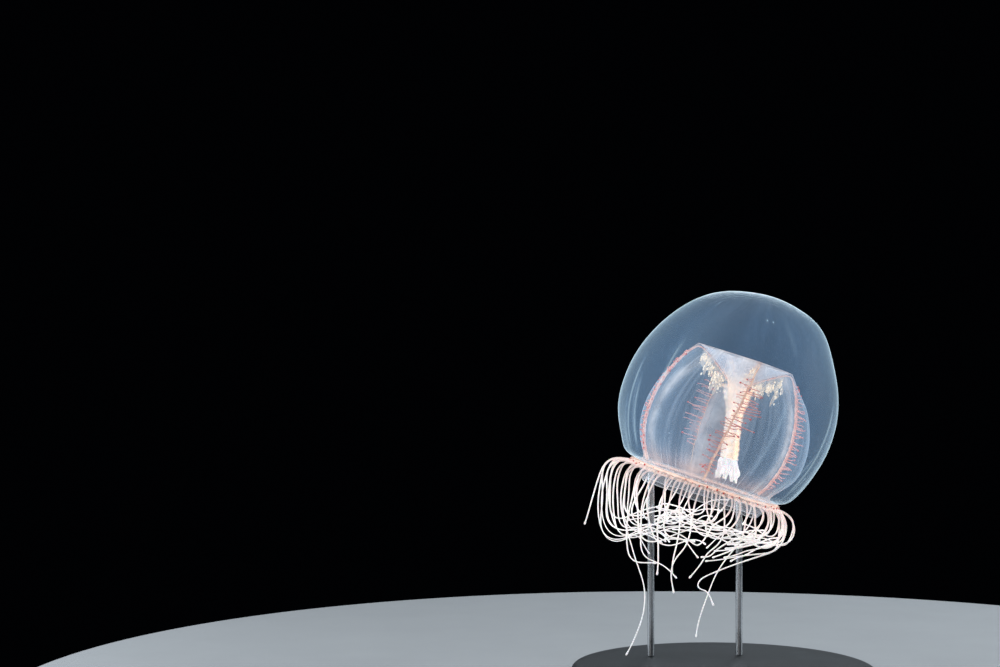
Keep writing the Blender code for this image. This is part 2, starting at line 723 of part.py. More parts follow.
def relax(route, move, step, smooth):
    """Moves one line by its pushes, and keeps its length, its smoothness and its clear places."""
    size = np.linalg.norm(move, axis=1, keepdims=True)
    move = move * np.minimum(1.0, LONGEST_PUSH / np.maximum(size, 1e-6))
    spread = move.copy()
    spread[1:-1] = 0.5 * move[1:-1] + 0.25 * (move[2:] + move[:-2])
    route[ROOT_STEPS:] += spread[ROOT_STEPS:]
    if smooth:
        middle = (route[2:] + route[:-2]) / 2
        route[ROOT_STEPS:-1] += SMOOTHING * (middle - route[1:-1])[ROOT_STEPS - 1 :]
    for i in range(ROOT_STEPS, len(route)):
        leg = route[i] - route[i - 1]
        length = max(np.linalg.norm(leg), 1e-6)
        route[i] = route[i - 1] + leg * (0.5 + 0.5 * step / length)
    keep_clear(route, slice(ROOT_STEPS + 1, None))


def tentacle_routes():
    """Every tentacle's line in the row frame, with no two nearer than the spacing."""
    named = {tentacle.slot: tentacle for tentacle in NAMED_TENTACLES}
    slots = [slot for slot in range(TENTACLE_SLOTS) if slot not in ROD_SLOTS]
    routes = [first_route(named.get(slot) or ordinary_tentacle(slot)) for slot in slots]
    steps = [np.linalg.norm(np.diff(route, axis=0), axis=1).mean() for route in routes]
    for turn in range(RELAX_ROUNDS):
        smooth = turn < RELAX_ROUNDS - LAST_STRAIGHT_ROUNDS
        for route, move, step in zip(routes, pushes_between(routes), steps):
            relax(route, move, step, smooth)
    return dict(zip(slots, routes))


def ring_places(route, rings):
    """Which points of a line get a ring, closer together where the line bends."""
    steps = np.diff(route, axis=0)
    heading = steps / np.linalg.norm(steps, axis=1, keepdims=True)
    bend = np.arccos(np.clip((heading[1:] * heading[:-1]).sum(axis=1), -1.0, 1.0))
    weight = np.concatenate([[0.0], np.full(len(steps), STRAIGHT_WEIGHT)])
    weight[1:-1] += bend / 2
    weight[2:] += bend / 2
    along = np.cumsum(weight)
    wanted = np.linspace(0.0, along[-1], rings)
    return sorted({int(np.argmin(np.abs(along - w))) for w in wanted})


def tube(shape, route, start_width, end_width, rings):
    """A three-sided tube along a line, each ring in the plane that halves its bend."""
    places = route[ring_places(route, rings)]
    steps = np.diff(places, axis=0)
    heading = steps / np.linalg.norm(steps, axis=1, keepdims=True)
    tangents = np.vstack([heading[:1], heading[1:] + heading[:-1], heading[-1:]])
    side = Vector(heading[0]).orthogonal().normalized()
    loops = []
    for i, (place, tangent) in enumerate(zip(places, tangents)):
        tangent = Vector(tangent).normalized()
        side = (side - tangent * side.dot(tangent)).normalized()
        third = tangent.cross(side)
        radius = (start_width + (end_width - start_width) * i / (len(places) - 1)) / 2
        loop = []
        for k in range(TENTACLE_SIDES):
            angle = 2 * math.pi * k / TENTACLE_SIDES
            loop.append(Vector(place) + (side * math.cos(angle) + third * math.sin(angle)) * radius)
        loops.append(loop)
    loft(shape, loops)


def margin_stretch(shape, pair):
    """The part of the margin that one pair of tentacles grows from."""
    width = 360.0 / TENTACLE_PAIRS
    trim = math.degrees(SKIN_GAP / 2 / MARGIN_RADIUS)
    loops = []
    for share in (0.0, 1.0):
        angle = math.radians(width * pair + trim + (width - 2 * trim) * share)
        loop = []
        for k in range(MARGIN_SIDES):
            turn = 2 * math.pi * (k + 0.5) / MARGIN_SIDES
            radius = MARGIN_RADIUS + MARGIN_THICKNESS / 2 * math.cos(turn)
            height = MARGIN_AT + MARGIN_THICKNESS / 2 * math.sin(turn)
            loop.append((radius * math.cos(angle), radius * math.sin(angle), height))
        loops.append(loop)
    loft(shape, loops)


def make_tentacle_pair(pair, routes, finish):
    """A stretch of the margin with its two tentacles joined to it."""
    name = f"tentacle_pair_{pair + 1:02d}"
    made = add_object(name, mesh_of(name, TO_ROW, lambda shape: margin_stretch(shape, pair)), finish)

    def build(shape):
        for slot in (2 * pair, 2 * pair + 1):
            if slot in routes:
                rings = TRAILING_RINGS if slot in TRAILING else TENTACLE_RINGS
                tube(shape, routes[slot], TENTACLE_BASE_WIDTH, TENTACLE_TIP_WIDTH, rings)

    tubes = add_object(name + "_tubes", mesh_of(name + "_tubes", Matrix(), build), finish)
    tubes.hide_render = True
    tubes.display_type = "WIRE"
    join = made.modifiers.new("join", "BOOLEAN")
    join.operation = "UNION"
    join.object = tubes
    return made


def stretch(route, start, end):
    """The part of a line between two shares of its length, less half a gap where it is cut."""
    along = np.concatenate([[0.0], np.cumsum(np.linalg.norm(np.diff(route, axis=0), axis=1))])
    total = along[-1]
    first = start * total + (SKIN_GAP / 2 if start > 0 else 0.0)
    last = end * total - (SKIN_GAP / 2 if end < 1 else 0.0)
    places = np.linspace(first, last, max(8, int((last - first) / ROUTE_STEP)))
    return np.stack([np.interp(places, along, route[:, k]) for k in range(3)], axis=1)


def split_trailing(routes, finish):
    """Cuts the far lengths off the trailing tentacles and makes each of them its own piece."""
    for slot, name in TRAILING.items():
        route = routes[slot]
        routes[slot] = stretch(route, 0.0, 1 / 3)
        for word, start, end in (("middle", 1 / 3, 2 / 3), ("tip", 2 / 3, 1.0)):
            line = stretch(route, start, end)
            piece = f"{name}_{word}"

            def build(shape, line=line):
                tube(shape, line, TENTACLE_TIP_WIDTH, TENTACLE_TIP_WIDTH, TRAILING_RINGS)

            add_object(piece, mesh_of(piece, Matrix(), build), finish)


# ---------------------------------------------------------------- the stand


def rod_foot(slot):
    """Where a rod stands, straight under the margin."""
    turned = math.radians(slot_angle(slot))
    return TO_ROW @ Vector((MARGIN_RADIUS * math.cos(turned), MARGIN_RADIUS * math.sin(turned), MARGIN_AT))


def make_stand(base_finish, rod_finish):
    """A round base with two rods that reach up to the margin."""

    def build_base(shape):
        rings = [
            circle(BASE_RADIUS - BASE_EDGE / 2, 0.0, BASE_SIDES),
            circle(BASE_RADIUS, BASE_EDGE / 2, BASE_SIDES),
            circle(BASE_RADIUS, BASE_THICKNESS - BASE_EDGE, BASE_SIDES),
            circle(BASE_RADIUS - BASE_EDGE, BASE_THICKNESS, BASE_SIDES),
        ]
        loft(shape, rings)

    base = add_object("stand_base", mesh_of("stand_base", Matrix(), build_base), base_finish)
    base.data.set_sharp_from_angle(angle=math.radians(30))
    for number, slot in enumerate(ROD_SLOTS):
        foot = rod_foot(slot)
        top = foot.z - MARGIN_THICKNESS / 2 / math.cos(math.radians(LEAN)) - SKIN_GAP - 0.1

        def build_rod(shape, foot=foot, top=top):
            low = BASE_THICKNESS + SKIN_GAP
            shoulder = 0.25
            rings = [
                circle(ROD_RADIUS, low, ROD_SIDES),
                circle(ROD_RADIUS, top - shoulder, ROD_SIDES),
                circle(ROD_RADIUS - shoulder, top, ROD_SIDES),
            ]
            loft(shape, [[(x + foot.x, y + foot.y, z) for x, y, z in ring] for ring in rings])

        name = f"stand_rod_{number + 1}"
        rod = add_object(name, mesh_of(name, Matrix(), build_rod), rod_finish)
        rod.data.set_sharp_from_angle(angle=math.radians(40))


def main():
    clear_scene()
    jelly = finish_of("jelly", (0.62, 0.78, 0.86), 0.2, alpha=0.35)
    membrane = finish_of("membrane", (0.75, 0.82, 0.88), 0.3, alpha=0.5)
    tissue = finish_of("tissue", (0.93, 0.72, 0.58), 0.5)
    lips = finish_of("lips", (0.95, 0.92, 0.88), 0.5)
    canal = finish_of("canal", (0.86, 0.45, 0.32), 0.5)
    gonad = finish_of("gonad", (0.9, 0.8, 0.62), 0.5)
    tentacle = finish_of("tentacle", (0.95, 0.88, 0.86), 0.4)
    board = finish_of("base", (0.03, 0.03, 0.035), 0.35)
    clear_rod = finish_of("rod", (0.85, 0.9, 0.92), 0.08, alpha=0.5)

    make_bell_band("bell_wall", BELL_FOOT, SHOULDER_CUT, jelly)
    make_bell_band("bell_shoulder", SHOULDER_CUT + SKIN_GAP, APEX_CUT, jelly)
    make_bell_apex(jelly)
    make_velum(membrane)
    make_peduncle(jelly)
    make_manubrium(tissue)
    make_mouth(lips)
    for number in range(CANALS):
        make_canal(number, canal)
        make_gonad(number, gonad)
    routes = tentacle_routes()
    split_trailing(routes, tentacle)
    for pair in range(TENTACLE_PAIRS):
        make_tentacle_pair(pair, routes, tentacle)
    make_stand(board, clear_rod)


main()
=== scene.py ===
"""The looks of a bell medusa (genus Polyorchis) on its plain display stand.

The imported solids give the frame, and every piece here is built where they lie. Lengths are in millimetres
until a mesh is made, and angles are in degrees. Two frames are used. The medusa's own frame has its origin
in the middle of the margin and +Z towards the top of the bell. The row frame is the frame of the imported
solids: its origin is on the floor under the middle of the stand, with +Z up.
"""

from __future__ import annotations

import json
import logging
from dataclasses import dataclass, field
from enum import Enum
from math import copysign, cos, degrees, floor, pi, radians, sin, sqrt
from typing import Sequence

import bmesh
import bpy
import numpy as np
from mathutils import Matrix, Vector

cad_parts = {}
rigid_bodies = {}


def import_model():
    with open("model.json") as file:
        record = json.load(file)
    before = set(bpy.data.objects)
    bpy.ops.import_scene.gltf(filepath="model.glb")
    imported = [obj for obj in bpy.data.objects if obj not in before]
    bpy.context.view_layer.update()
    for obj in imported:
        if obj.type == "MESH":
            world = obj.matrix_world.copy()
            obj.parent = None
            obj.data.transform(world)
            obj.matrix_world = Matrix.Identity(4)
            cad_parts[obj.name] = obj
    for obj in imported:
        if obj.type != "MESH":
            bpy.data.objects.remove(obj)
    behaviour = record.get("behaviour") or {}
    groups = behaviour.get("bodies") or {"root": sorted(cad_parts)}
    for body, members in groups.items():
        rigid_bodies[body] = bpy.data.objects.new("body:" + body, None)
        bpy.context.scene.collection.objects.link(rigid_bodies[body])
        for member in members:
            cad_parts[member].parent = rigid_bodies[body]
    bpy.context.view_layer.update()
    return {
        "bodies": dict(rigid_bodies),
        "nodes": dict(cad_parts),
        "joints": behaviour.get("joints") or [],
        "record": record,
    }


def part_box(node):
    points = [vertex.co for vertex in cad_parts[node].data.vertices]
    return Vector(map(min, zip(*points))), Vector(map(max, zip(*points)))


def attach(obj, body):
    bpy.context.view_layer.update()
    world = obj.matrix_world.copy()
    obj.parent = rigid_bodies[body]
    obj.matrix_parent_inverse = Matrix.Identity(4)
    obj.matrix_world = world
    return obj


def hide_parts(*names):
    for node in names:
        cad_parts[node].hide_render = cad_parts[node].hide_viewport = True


log = logging.getLogger("medusa")

Point = tuple[float, float, float]
Colour = tuple[float, float, float]
Material = bpy.types.Material
Mesh = bpy.types.Mesh
NodeTree = bpy.types.NodeTree
Socket = bpy.types.NodeSocket
Array = np.ndarray
Numbers = np.ndarray | float

MM = 0.001
BODY = "root"
LEAN = 18.4  # how far the top of the bell leans to +X
MARGIN_CENTRE = (-5.0, 0.0, 57.0)  # the middle of the margin, in the row frame

TO_ROW = Matrix.Translation(MARGIN_CENTRE) @ Matrix.Rotation(radians(LEAN), 4, "Y")
FROM_ROW = TO_ROW.inverted()
AS_IT_IS = Matrix.Identity(4)
CLEAR_LAYERS = 48  # how many clear skins light may cross
MERGE = 1e-6  # how near doubled points are, in metres


# ---- numbers and lines


def smooth_step(low: float, high: float, value: Numbers) -> Array:
    """Rises smoothly from 0 at low to 1 at high."""
    share = np.clip((np.asarray(value, float) - low) / (high - low), 0.0, 1.0)
    return share * share * (3 - 2 * share)


def fade_from(off: Numbers, width: float) -> Array:
    """1 where off is 0, and less with every width away from there."""
    return np.exp(-((off / width) ** 2))


def hash_share(*numbers: float) -> float:
    """A number from 0 to 1 that depends on up to three others alone, and so is the same each time."""
    value = sin(sum(n * k for n, k in zip(numbers, (12.9898, 78.233, 37.719)))) * 43758.5453
    return value - floor(value)


def placed(points: Array, frame: Matrix) -> Array:
    """Points moved by a matrix, with one point in each row."""
    matrix = np.array(frame)
    return points @ matrix[:3, :3].T + matrix[:3, 3]


def spline(controls: Sequence[Sequence[float]], count: int) -> Array:
    """Points on the smooth curve that control points pull, from the first one to the last.

    Args:
        controls: The control points.
        count: How many points to read.

    Returns:
        The points, one in each row.
    """
    controls = np.asarray(controls, float)
    padded = np.vstack([2 * controls[0] - controls[1], controls, 2 * controls[-1] - controls[-2]])
    spans = len(padded) - 3
    places = np.linspace(0.0, spans, count)
    index = np.minimum(places.astype(int), spans - 1)
    t = (places - index)[:, None]
    a, b, c, d = (padded[index + k] for k in range(4))
    return (
        (1 - t) ** 3 * a + (3 * t**3 - 6 * t**2 + 4) * b + (-3 * t**3 + 3 * t**2 + 3 * t + 1) * c + t**3 * d
    ) / 6


def lengths_along(line: Array) -> Array:
    """How far along a line each of its points lies."""
    return np.concatenate([[0.0], np.cumsum(np.linalg.norm(np.diff(line, axis=0), axis=1))])


def read_at(line: Array, places: Array) -> Array:
    """Points on a line, at these lengths along it."""
    along = lengths_along(line)
    return np.stack([np.interp(places, along, line[:, k]) for k in range(3)], axis=1)


def all_round(columns: int, first: float = 0.0) -> Array:
    """Even angles once round the axis."""
    return first + 360.0 * np.arange(columns) / columns


def away_from(angles: Array, middle: Numbers) -> Array:
    """How far angles lie from a middle one, from -180 to 180."""
    return (angles - middle + 180.0) % 360.0 - 180.0


def ring_points(radius: Numbers, height: Numbers, angles: Array, shift: Numbers = 0.0) -> Array:
    """A ring of points about the axis.

    Args:
        radius: The radius, or one for each angle.
        height: The height, or one for each angle.
        angles: The angles.
        shift: How far the ring's middle lies towards +X.

    Returns:
        The points, one in each row.
    """
    turned = np.radians(angles)
    height = np.broadcast_to(height, turned.shape)
    return np.stack([shift + radius * np.cos(turned), radius * np.sin(turned), height], axis=1)


# ---- meshes and pieces


def add_values(mesh: Mesh, name: str, values: Array, kind: str = "FLOAT") -> None:
    """Stores a number or a vector for each point of a mesh.

    Args:
        mesh: The mesh.
        name: The attribute's name.
        values: One row for each point.
        kind: The attribute's type.
    """
    attribute = mesh.attributes.new(name, kind, "POINT")
    field_name = "value" if kind == "FLOAT" else "vector"
    attribute.data.foreach_set(field_name, np.asarray(values, np.float32).ravel())


def ring_mesh(rings: Array, frame: Matrix = TO_ROW, close_rows: bool = False, caps: bool = False) -> Mesh:
    """A skin over rings of points. A ring whose points all meet becomes a pole.

    Args:
        rings: Rings of points in millimetres, as rows, columns and 3.
        frame: What carries the points into the row frame.
        close_rows: Whether the last ring joins the first one, as on a torus.
        caps: Whether a face closes each end.

    Returns:
        The mesh in metres. Its points keep the rings' order.
    """
    rows, columns, _ = rings.shape
    points = placed(rings.reshape(-1, 3), frame) * MM
    i = np.arange(rows if close_rows else rows - 1)[:, None]
    j = np.arange(columns)[None, :]
    below = (i + 1) % rows
    right = (j + 1) % columns
    above, below = i * columns, below * columns
    quads = np.stack([above + j, above + right, below + right, below + j], axis=-1)
    faces = quads.reshape(-1, 4).tolist()
    if caps:
        faces += [list(range(columns))[::-1], [(rows - 1) * columns + k for k in range(columns)]]
    mesh = bpy.data.meshes.new("rings")
    mesh.from_pydata(points.tolist(), [], faces)
    return mesh


def turn_outwards(mesh: Mesh, merge: float = 0.0) -> None:
    """Turns a mesh's faces outwards and shades it smooth.

    Args:
        mesh: The mesh.
        merge: How near doubled points are that are merged first, in metres.
    """
    shape = bmesh.new()
    shape.from_mesh(mesh)
    if merge:
        bmesh.ops.remove_doubles(shape, verts=shape.verts, dist=merge)
        bmesh.ops.dissolve_degenerate(shape, edges=shape.edges, dist=merge / 10)
    bmesh.ops.recalc_face_normals(shape, faces=shape.faces)
    shape.to_mesh(mesh)
    shape.free()
    mesh.shade_smooth()


def new_object(name: str, mesh: Mesh) -> bpy.types.Object:
    """Links a mesh as an object at the origin.

    Args:
        name: The object's name.
        mesh: The mesh.

    Returns:
        The object.
    """
    made = bpy.data.objects.new(name, mesh)
    bpy.context.scene.collection.objects.link(made)
    return made


def finish_piece(name: str, mesh: Mesh, material: Material, nodes: Sequence[str] = ()) -> None:
    """Makes a mesh a piece: dresses it, hangs it on the body and says which solids it stands for.

    Args:
        name: The piece's name.
        mesh: Its mesh, in place.
        material: What it is covered with.
        nodes: The solids that it replaces.
    """
    mesh.name = name
    mesh.materials.clear()
    mesh.materials.append(material)
    piece = new_object(name, mesh)
    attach(piece, BODY)
    if nodes:
        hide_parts(*nodes)
    log.info("%s: %d faces, stands for %s", name, len(mesh.polygons), ", ".join(nodes) or "no solid")


def finish_skin(
    name: str,
    rings: Sequence[Array],
    material: Material,
    nodes: Sequence[str] = (),
    values: dict[str, Array] | None = None,
    close_rows: bool = False,
) -> None:
    """Makes rings of points a closed piece.

    Args:
        name, material, nodes: As finish_piece takes them.
        rings: Its rings in the medusa's own frame.
        values: Numbers for its finish to read, by name: for each point, or for each ring.
        close_rows: Whether the last ring joins the first one.
    """
    rings = np.array(rings)
    mesh = ring_mesh(rings, close_rows=close_rows)
    for label, numbers in (values or {}).items():
        numbers = np.asarray(numbers, float).reshape(len(rings), -1)
        add_values(mesh, label, np.broadcast_to(numbers, rings.shape[:2]))
    turn_outwards(mesh, MERGE)
    finish_piece(name, mesh, material, nodes)


# ---- node graphs


class Graph:
    """Adds nodes to a tree, sets their inputs and links them."""

    def __init__(self, tree: NodeTree, shared: ShaderGroups | None = None) -> None:
        """Keeps the tree and the shared effects."""
        self.tree, self.shared = tree, shared

    def feed(self, node: bpy.types.Node, inputs: dict) -> None:
        """Sets or links a node's inputs.

        Args:
            node: The node.
            inputs: Values or output sockets, by the input's name or number.
        """
        for key, value in inputs.items():
            if isinstance(value, Socket):
                self.tree.links.new(value, node.inputs[key])
            else:
                node.inputs[key].default_value = value

    def add(self, kind: str, inputs: dict | None = None, **settings: object) -> bpy.types.Node:
        """Adds a node.

        Args:
            kind: The node's type name.
            inputs: Values or output sockets, by the input's name or number.
            settings: The node's own settings.

        Returns:
            The node.
        """
        node = self.tree.nodes.new(kind)
        for key, value in settings.items():
            setattr(node, key, value)
        self.feed(node, inputs or {})
        return node

    def out(self, kind: str, inputs: dict | None = None, **settings: object) -> Socket:
        """Adds a node as add does, and gives its first output."""
        return self.add(kind, inputs, **settings).outputs[0]

    def math(self, operation: str, a: object, b: object = 0.0) -> Socket:
        """One sum of two numbers, and its result."""
        return self.out("ShaderNodeMath", {0: a, 1: b}, operation=operation)

    def vector(self, operation: str, a: object, b: object = (0.0, 0.0, 0.0), scale: object = 1.0) -> Socket:
        """One sum of two vectors, or of one and a scale, and its result."""
        return self.out("ShaderNodeVectorMath", {0: a, 1: b, 3: scale}, operation=operation)

    def mix(self, share: object, a: object, b: object) -> Socket:
        """One colour fading to another."""
        return self.add("ShaderNodeMix", {0: share, 6: a, 7: b}, data_type="RGBA").outputs[2]

    def span(self, value: object, low: object, high: object, start: float = 0.0, end: float = 1.0) -> Socket:
        """A value carried from one range to another, and kept inside it."""
        inputs = {"Value": value, "From Min": low, "From Max": high, "To Min": start, "To Max": end}
        return self.out("ShaderNodeMapRange", inputs, interpolation_type="SMOOTHSTEP")

    def noise(self, vector: Socket, scale: object, detail: float = 3.0, roughness: float = 0.55) -> Socket:
        """A cloudy pattern, from 0 to 1."""
        inputs = {"Vector": vector, "Scale": scale, "Detail": detail, "Roughness": roughness}
        return self.add("ShaderNodeTexNoise", inputs).outputs["Fac"]

    def attribute(self, name: str) -> Socket:
        """A number that the mesh holds for each of its points."""
        return self.add("ShaderNodeAttribute", attribute_name=name, attribute_type="GEOMETRY").outputs["Fac"]

    def named(self, name: str, kind: str = "FLOAT") -> Socket:
        """A named attribute of the points, in a geometry tree."""
        return self.out("GeometryNodeInputNamedAttribute", {"Name": name}, data_type=kind)

    def facing(self) -> Socket:
        """How far the surface turns away from the eye."""
        return self.add("ShaderNodeLayerWeight", {"Blend": 0.5}).outputs["Facing"]

    def bump(self, height: Socket, strength: float, distance: float) -> Socket:
        """A normal that follows a height, over a distance in millimetres."""
        inputs = {"Height": height, "Strength": strength, "Distance": distance * MM}
        return self.out("ShaderNodeBump", inputs)

    def group(self, tree: NodeTree, **inputs: object) -> Sequence[Socket]:
        """Places a shader group with these inputs, and gives its outputs."""
        return self.add("ShaderNodeGroup", inputs, node_tree=tree).outputs

    def layers(self, start: float, *parts: tuple[Socket, float]) -> Socket:
        """A number with several masks added to it.

        Args:
            start: The number.
            parts: Each mask and how much it adds where it is 1.

        Returns:
            The sum.
        """
        total: object = start
        for mask, share in parts:
            total = self.math("ADD", self.math("MULTIPLY", mask, share), total)
        return total


def new_tree(
    name: str, kind: str, inputs: dict[str, object], outputs: dict[str, str]
) -> tuple[Graph, Sequence[Socket], dict[str, str]]:
    """A node group with named inputs and outputs.

    Args:
        name: The group's name.
        kind: The group's type.
        inputs: Each input's value at first, or its socket type where it has none.
        outputs: Each output's socket type.

    Returns:
        A graph that adds to the group, the sockets of its input node, and the inputs' identifiers.
    """
    tree = bpy.data.node_groups.new(name, kind)
    keys = {}
    for way, sockets in (("OUTPUT", outputs), ("INPUT", inputs)):
        for label, first in sockets.items():
            named = first if isinstance(first, str) else type(first).__name__.capitalize()
            socket = tree.interface.new_socket(label, in_out=way, socket_type="NodeSocket" + named)
            if named != first:
                socket.default_value = first
            if way == "INPUT":
                keys[label] = socket.identifier
    graph = Graph(tree)
    return graph, graph.add("NodeGroupInput").outputs, keys


class ShaderGroups:
    """The effects that more than one finish uses, each built once."""

    def __init__(self) -> None:
        """Builds the groups."""
        self.fibres = self._fibres()
        self.specks = self._specks()
        self.mottle = self._mottle()

    @staticmethod
    def _fibres() -> NodeTree:
        """Soft streaks that run from the top of the bell to its margin.

        Returns:
            The group.
        """
        inputs = {"Vector": "Vector", "Count": 10.0, "Length": 20.0, "Low": 0.45, "High": 0.7}
        graph, given, _ = new_tree("Lengthwise fibres", "ShaderNodeTree", inputs, {"Mask": "Float"})
        flat = graph.vector("MULTIPLY", given["Vector"], (1.0, 1.0, 0.0))
        around = graph.vector("SCALE", graph.vector("NORMALIZE", flat), scale=given["Count"])
        upright = graph.add("ShaderNodeSeparateXYZ", {0: given["Vector"]}).outputs[2]
        rise = graph.math("DIVIDE", upright, given["Length"])
        sides = graph.add("ShaderNodeSeparateXYZ", {0: around}).outputs
        where = graph.out("ShaderNodeCombineXYZ", {0: sides[0], 1: sides[1], 2: rise})
        cloud = graph.noise(where, 1.0, 2.5, 0.5)
        graph.add("NodeGroupOutput", {"Mask": graph.span(cloud, given["Low"], given["High"])})
        return graph.tree

    @staticmethod
    def _specks() -> NodeTree:
        """Tiny scattered dots.

        Returns:
            The group.
        """
        inputs = {"Vector": "Vector", "Spacing": 0.004, "Size": 0.06}
        graph, given, _ = new_tree("Specks", "ShaderNodeTree", inputs, {"Mask": "Float"})
        scale = graph.math("DIVIDE", 1.0, given["Spacing"])
        cells = graph.add("ShaderNodeTexVoronoi", {"Vector": given["Vector"], "Scale": scale})
        near = graph.math("DIVIDE", cells.outputs["Distance"], given["Size"])
        graph.add("NodeGroupOutput", {"Mask": graph.span(near, 1.0, 0.5)})
        return graph.tree

    @staticmethod
    def _mottle() -> NodeTree:
        """A cloudy change between two colours, and a height for a bump.

        Returns:
            The group.
        """
        inputs = {"Vector": "Vector", "Scale": 900.0, "First": "Color", "Second": "Color"}
        graph, given, _ = new_tree("Mottle", "ShaderNodeTree", inputs, {"Color": "Color", "Height": "Float"})
        cloud = graph.noise(given["Vector"], given["Scale"], 4.0, 0.6)
        colour = graph.mix(graph.span(cloud, 0.35, 0.65), given["First"], given["Second"])
        graph.add("NodeGroupOutput", {"Color": colour, "Height": cloud})
        return graph.tree


# ---- finishes


def rgba(colour: Colour) -> tuple[float, float, float, float]:
    """A colour with a full fourth part."""
    return (*colour, 1.0)


@dataclass(frozen=True, kw_only=True)
class Finish:
    """What every finish shares: its name and the shader's own constant values."""

    name: str = field(kw_only=False)
    roughness: float = 0.4
    glow: float = 0.0  # the strength of painted light: emission that stands in for light scattered inside the tissue, though it is no lamp
    scatter: float = 0.0
    scatter_depth: float = 0.5
    index: float = 1.38
    metal: float = 0.0

    def make(self, groups: ShaderGroups) -> Material:
        """Makes the material.

        Args:
            groups: The shared effects.

        Returns:
            The material.
        """
        made = bpy.data.materials.new(self.name)
        made.use_nodes = True
        graph = Graph(made.node_tree, groups)
        shader = made.node_tree.nodes["Principled BSDF"]
        constants = {
            "Roughness": self.roughness,
            "IOR": self.index,
            "Metallic": self.metal,
            "Emission Strength": self.glow,
            "Subsurface Weight": self.scatter,
            "Subsurface Scale": self.scatter_depth * MM,
        }
        graph.feed(shader, {**constants, **self.looks(graph)})
        return made

    def looks(self, graph: Graph) -> dict[str, Socket]:
        """What changes over the surface, by the shader's input. Each kind of finish has its own."""
        raise NotImplementedError(self.name)

    @staticmethod
    def own_place(graph: Graph) -> Socket:
        """The place on the piece in the medusa's own frame, in metres.

        Args:
            graph: The material's nodes.

        Returns:
            The place.
        """
        inputs = {
            "Vector": graph.add("ShaderNodeTexCoord").outputs["Object"],
            "Rotation": tuple(FROM_ROW.to_euler()),
            "Location": tuple(FROM_ROW.translation * MM),
        }
        return graph.out("ShaderNodeMapping", inputs)

    @staticmethod
    def both(colour: Socket) -> dict[str, Socket]:
        """One colour for what the shader reflects and for the painted light that it gives out."""
        return {"Base Color": colour, "Emission Color": colour}


@dataclass(frozen=True)
class JellyFinish(Finish):
    """Clear jelly with a bluish haze, which shows most where the eye runs along it, and a painted rim light
    where it turns from the eye.
    """

    haze: Colour = (0.29, 0.50, 0.80)
    # painted rim light: the pale colour that the outside turns to, and glows in, where it turns from the eye
    edge: Colour = (0.74, 0.93, 1.0)
    wall: Colour = (0.60, 0.74, 0.90)
    crown: Colour = (0.82, 0.83, 0.93)
    canal: Colour = (0.95, 0.62, 0.48)
    stalk: Colour = (1.0, 0.88, 0.78)
    cloud: Colour = (0.96, 0.90, 0.89)
    outside_alpha: float = 0.14
    wall_alpha: float = 0.075
    most_alpha: float = 0.95

    def looks(self, graph: Graph) -> dict[str, Socket]:
        """The jelly's colour and density, which the masks on the mesh steer.

        Args:
            graph: The material's nodes.

        Returns:
            What feeds the shader.
        """
        place = self.own_place(graph)
        masks = ("wall", "crown", "canal", "rim", "stalk", "haze", "fold")
        wall, crown, canal, rim, stalk, haze, fold = (graph.attribute(name) for name in masks)
        facing = graph.facing()
        soft, sharp = graph.math("POWER", facing, 3.0), graph.math("POWER", facing, 12.0)
        folds = graph.group(graph.shared.fibres, Vector=place, Count=4.5, Length=0.02, Low=0.5, High=0.8)
        fibres = graph.group(graph.shared.fibres, Vector=place, Count=13.0, Length=0.03)
        specks = graph.group(graph.shared.specks, Vector=place, Spacing=0.005, Size=0.045)
        cloudy = graph.span(graph.noise(place, 160.0, 3.0), 0.3, 0.7, 0.35, 1.2)

        brim, glancing = graph.math("POWER", facing, 4.0), graph.math("POWER", facing, 10.0)
        clouds = graph.math("MULTIPLY", haze, cloudy)
        # the marked creases and glints are drawn denser here, as painted bright lines
        outer = ((brim, 0.07), (sharp, 1.10), (fold, 0.30), (folds[0], 0.05))
        inner = ((soft, 0.20), (glancing, 0.50), (fibres[0], 0.12), (canal, 0.12), (rim, 0.50))
        inner += ((specks[0], 0.5), (crown, 0.13), (stalk, 0.42), (clouds, 0.46))
        outside = graph.layers(self.outside_alpha, *outer)
        inside = graph.layers(self.wall_alpha, *inner)
        spread = graph.math("SUBTRACT", inside, outside)
        alpha = graph.math("ADD", graph.math("MULTIPLY", spread, wall), outside)

        # painted rim light: the outside turns from the haze to the pale edge colour where it turns from the
        # eye, and along the painted bright crease lines
        outer_colour = graph.mix(graph.math("MAXIMUM", soft, fold), rgba(self.haze), rgba(self.edge))
        inner_colour = graph.mix(crown, rgba(self.wall), rgba(self.crown))
        lines = graph.math("MAXIMUM", canal, rim)
        for mask, colour in ((haze, self.cloud), (lines, self.canal), (stalk, self.stalk)):
            inner_colour = graph.mix(mask, inner_colour, rgba(colour))
        colour = graph.mix(wall, outer_colour, inner_colour)
        return {**self.both(colour), "Alpha": graph.math("MINIMUM", alpha, self.most_alpha)}


@dataclass(frozen=True)
class VeilFinish(Finish):
    """A thin translucent skin, with a thicker line along its free edge."""

    colour: Colour = (0.62, 0.66, 0.74)
    line: Colour = (0.92, 0.94, 0.98)
    alpha: float = 0.09
    most_alpha: float = 0.95

    def looks(self, graph: Graph) -> dict[str, Socket]:
        """The skin's colour and density. The mesh's "line" value is 1 along the free edge.

        Args:
            graph: The material's nodes.

        Returns:
            What feeds the shader.
        """
        line = graph.attribute("line")
        fibres = graph.group(graph.shared.fibres, Vector=self.own_place(graph), Count=18.0, Length=0.02)
        edge = graph.math("POWER", graph.facing(), 3.0)
        alpha = graph.layers(self.alpha, (edge, 0.14), (fibres[0], 0.06), (line, 0.35))
        colour = graph.mix(line, rgba(self.colour), rgba(self.line))
        return {**self.both(colour), "Alpha": graph.math("MINIMUM", alpha, self.most_alpha)}


